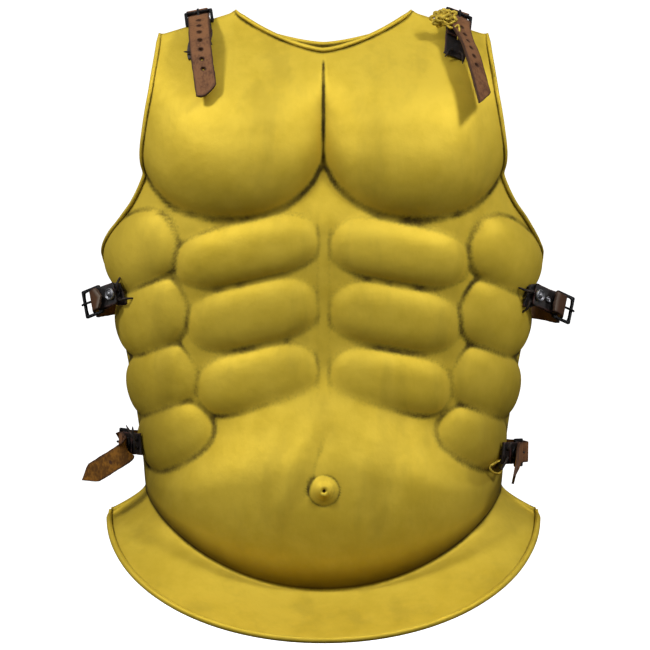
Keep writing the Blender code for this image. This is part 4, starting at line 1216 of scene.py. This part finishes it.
# ---------------------------------------------------------------- laces
# Leather thongs that tie each chape down through two holes in the breastplate, with their ends left long.
# They are black, but for a yellow loop at the lower right and a yellow bow tied on at the right shoulder.
LACE_RADIUS = 0.0012
LACE_POINT = 0.005        # the length that thins towards each end
LACE_UNEVEN = (0.10, 900.0)  # how much the thickness varies, and how quickly in radians for each metre
# The tie through the holes, in the chape's own directions: towards the plate's middle, across, out.
LACE_TIE = (
    (0.0006, 0.0036, 0.0046), (0.0000, 0.0036, 0.0016), (0.0000, 0.0036, -0.0036), (0.0000, 0.0000, -0.0050),
    (0.0000, -0.0036, -0.0036), (0.0000, -0.0036, 0.0016), (0.0006, -0.0036, 0.0046),
)
LACE_OVER = 0.0040        # points further out than this lie on top of the chape
# Where its two ends go from there: in front of +across and of -across.
LACE_ENDS = {
    "left_shoulder": (((0.0020, 0.0060, 0.0052), (0.0000, 0.0125, 0.0050)),
                      ((0.0030, -0.0070, 0.0056), (-0.0040, -0.0118, 0.0070), (0.0010, -0.0140, 0.0060))),
    "right_shoulder": (((0.0040, 0.0060, 0.0056), (0.0110, 0.0080, 0.0050)),
                       ((0.0040, -0.0070, 0.0056), (0.0120, -0.0090, 0.0050))),
    "upper_left": (((0.0050, 0.0056, 0.0060), (0.0110, 0.0062, 0.0056), (0.0160, 0.0080, 0.0040)),
                   ((0.0050, -0.0050, 0.0060), (0.0070, -0.0100, 0.0050), (0.0060, -0.0160, 0.0035))),
    "upper_right": (((0.0050, 0.0050, 0.0060), (0.0110, 0.0030, 0.0050), (0.0180, 0.0030, 0.0035)),
                    ((0.0050, -0.0050, 0.0060), (0.0040, -0.0120, 0.0050), (0.0010, -0.0170, 0.0040))),
    "lower_left": (((0.0030, 0.0010, 0.0066), (0.0030, -0.0080, 0.0075), (0.0045, -0.0170, 0.0080)),
                   ((0.0020, -0.0060, 0.0060), (-0.0030, -0.0120, 0.0080), (-0.0060, -0.0180, 0.0095))),
    "lower_right": (((0.0020, 0.0070, 0.0060), (-0.0010, 0.0110, 0.0065)),
                    ((0.0060, -0.0080, 0.0056), (0.0100, -0.0140, 0.0045), (0.0140, -0.0120, 0.0045))),
}


def thong(name, points, radius, finish, replaced=None, taper=0.35):
    """A thong: a round lace through points, uneven in thickness and thinner at its cut ends."""
    places, _, lengths = route([(point, (0, 0, 0)) for point in points], 6)
    steady = Vector((0.2, 0.1, 1.0)).normalized()
    swell, pitch = LACE_UNEVEN
    sections = []
    for ahead, length in zip(headings(places), lengths):
        up = steady - ahead * steady.dot(ahead)
        steady = up.normalized() if up.length > 0.05 else ahead.orthogonal().normalized()
        end = min(length, lengths[-1] - length) / LACE_POINT
        size = radius * (taper + (1 - taper) * min(end, 1.0)) * (1 + swell * math.sin(length * pitch))
        sections.append((ahead.cross(steady) * size, steady * size))
    finish_piece(name, drawn(places, sections, 8), finish, replaced, math.radians(60))


LACE_BLACK = (0.010, 0.007, 0.006)
LACE_SCUFFED = (0.045, 0.030, 0.022)
LACE_YELLOW = (0.40, 0.27, 0.022)
LACE_PALE = (0.80, 0.60, 0.07)


def lace_finish(name, base, pale):
    """Leather cut into a thong: one colour with paler patches, and a soft grain."""
    finish = Finish(name)
    place = finish.place()
    cloud = finish.noise(place, 300.0, 4.0)
    finish.set(Base_Color=finish.blend(finish.ramp(cloud, 0.40, 0.68), base, pale),
               Specular_IOR_Level=0.30, Roughness=0.55 + cloud * 0.2, Normal=finish.bump(cloud, 0.0002, 0.7))
    return finish.material


black_lace = lace_finish("black_lace", LACE_BLACK, LACE_SCUFFED)
yellow_lace = lace_finish("yellow_lace", LACE_YELLOW, LACE_PALE)

for name, buckle in BUCKLES.items():
    seat, inward, seat_across, facing = laid_down[name]
    first, second = LACE_ENDS[name]
    points = []
    for toward_middle, sideways, out in first[::-1] + LACE_TIE + second:
        height = out + buckle["lift"] if out > LACE_OVER else out
        points.append(seat + inward * toward_middle + seat_across * sideways + facing * height)
    thong(name + "_thong", points, LACE_RADIUS, black_lace, name + "_lace")

# The loop at the lower right hangs from the corner of the chape.
YELLOW_LOOP = (
    (0.1630, -0.0560, -0.4080), (0.1560, -0.0650, -0.4105), (0.1512, -0.0690, -0.4135),
    (0.1530, -0.0690, -0.4180), (0.1590, -0.0660, -0.4200), (0.1625, -0.0620, -0.4165),
    (0.1640, -0.0570, -0.4100),
)
YELLOW_RADIUS = 0.0010
thong("lower_right_loop", YELLOW_LOOP, YELLOW_RADIUS, yellow_lace, taper=0.8)

# The bow at the right shoulder.  Its loops go round the knot: the way each points in degrees, its length, and
# how far in front of the knot it lies.
BOW_KNOT = (0.1085, -0.0790, -0.0080)
BOW_LOOPS = (
    (178, 0.0120, 0.0000), (150, 0.0095, 0.0022), (205, 0.0105, 0.0030), (232, 0.0085, 0.0008),
    (118, 0.0075, 0.0030), (88, 0.0080, 0.0006), (55, 0.0085, 0.0026), (25, 0.0125, 0.0010),
    (-8, 0.0115, 0.0030), (-35, 0.0090, 0.0004), (-75, 0.0060, 0.0026), (190, 0.0070, 0.0046),
    (10, 0.0070, 0.0046),
)
BOW_HALF_WIDTH = 0.0022   # of one loop
BOW_WAIST = 0.6           # where a loop is widest, as a share of its length
BOW_RADIUS = 0.0016
BOW_HOLD = 0.0010         # how near the knot's middle each loop comes back
BOW_ENDS = (
    ((0.1090, -0.0830, -0.0110), (0.1130, -0.0850, -0.0160), (0.1175, -0.0865, -0.0172),
     (0.1215, -0.0880, -0.0150), (0.1222, -0.0895, -0.0205), (0.1205, -0.0905, -0.0285)),
    ((0.1080, -0.0830, -0.0100), (0.1120, -0.0850, -0.0135), (0.1165, -0.0865, -0.0125),
     (0.1190, -0.0870, -0.0100)),
)

knot = Vector(BOW_KNOT)
points = [knot]
for degrees, length, before in BOW_LOOPS:
    way = Vector((math.cos(math.radians(degrees)), 0, math.sin(math.radians(degrees))))
    beside = Vector((-way.z, 0, way.x)) * BOW_HALF_WIDTH
    middle = knot - Vector((0, before, 0))
    waist = middle + way * length * BOW_WAIST
    points += [waist + beside, middle + way * length, waist - beside, middle + way * BOW_HOLD]
thong("right_shoulder_bow", points, BOW_RADIUS, yellow_lace, taper=0.6)
for number, end in enumerate(BOW_ENDS, 1):
    thong(f"right_shoulder_bow_end_{number}", end, YELLOW_RADIUS, yellow_lace, taper=0.5)


# ---------------------------------------------------------------- studio
# A plain white floor and backdrop.  Two strong lights stand high at the sides, and weak ones low at the sides
# and in front.
camera_data = bpy.data.cameras.new("camera")
camera_data.lens = 142.2
camera_data.sensor_width = 36.0
camera = bpy.data.objects.new("camera", camera_data)
bpy.context.scene.collection.objects.link(camera)
camera.location = (0.0014, -2.4, -0.285)
camera.rotation_euler = (math.radians(90), 0, 0)
bpy.context.scene.camera = camera
bpy.context.scene.view_settings.view_transform = "Standard"


def soft_light(name, place, target, size, power):
    data = bpy.data.lights.new(name, "AREA")
    data.shape = "RECTANGLE"
    data.size, data.size_y = size
    data.energy = power
    lamp = bpy.data.objects.new(name, data)
    bpy.context.scene.collection.objects.link(lamp)
    lamp.location = place
    lamp.rotation_euler = (Vector(target) - Vector(place)).to_track_quat("-Z", "Y").to_euler()


for side, power in ((-1, 53), (1, 49)):
    soft_light(f"high_light_{side}", (side * 1.80, -1.65, 1.90), (0, 0, -0.25), (0.50, 0.50), power)
    soft_light(f"low_light_{side}", (side * 2.50, -0.45, -0.20), (0, 0, -0.38), (0.25, 0.25), 6.0)
soft_light("front_light", (0.0, -2.9, 2.2), (0, 0, -0.25), (1.2, 0.6), 12)
soft_light("fill_light", (0.0, -2.8, -0.9), (0, 0, -0.45), (1.0, 0.5), 3.0)

# The room: bright overhead, dim at the sides and dark underfoot.
world = bpy.data.worlds.new("room")
world.use_nodes = True
room = world.node_tree
direction = room.nodes.new("ShaderNodeTexCoord").outputs["Generated"]
height = room.nodes.new("ShaderNodeSeparateXYZ")
room.links.new(direction, height.inputs[0])
glow = room.nodes.new("ShaderNodeMapRange")
glow.interpolation_type = "SMOOTHSTEP"
glow.inputs["From Min"].default_value = -0.25
glow.inputs["From Max"].default_value = 0.75
glow.inputs["To Min"].default_value = 0.025
glow.inputs["To Max"].default_value = 0.22
room.links.new(height.outputs["Z"], glow.inputs["Value"])
room.links.new(glow.outputs[0], room.nodes["Background"].inputs["Strength"])
room.nodes["Background"].inputs["Color"].default_value = (1.0, 1.0, 1.0, 1.0)
bpy.context.scene.world = world


def stage_piece(name, shape, colour, glow):
    mesh = bpy.data.meshes.new(name)
    shape.to_mesh(mesh)
    shape.free()
    finish = Finish(name)
    finish.set(Base_Color=colour, Roughness=0.9, Emission_Color=(1.0, 1.0, 1.0), Emission_Strength=glow)
    mesh.materials.append(finish.material)
    piece = bpy.data.objects.new(name, mesh)
    bpy.context.scene.collection.objects.link(piece)
    piece.visible_diffuse = False
    piece.visible_glossy = False
    piece.visible_shadow = False


FLOOR_Z = -0.66
floor = bmesh.new()
bmesh.ops.create_circle(floor, cap_ends=True, segments=64, radius=7.9,
                        matrix=Matrix.Translation((0, 0, FLOOR_Z)))
stage_piece("floor", floor, (0.9, 0.9, 0.9), 1.0)
backdrop = bmesh.new()
bmesh.ops.create_icosphere(backdrop, subdivisions=4, radius=8.0)
stage_piece("backdrop", backdrop, (1.0, 1.0, 1.0), 1.0)
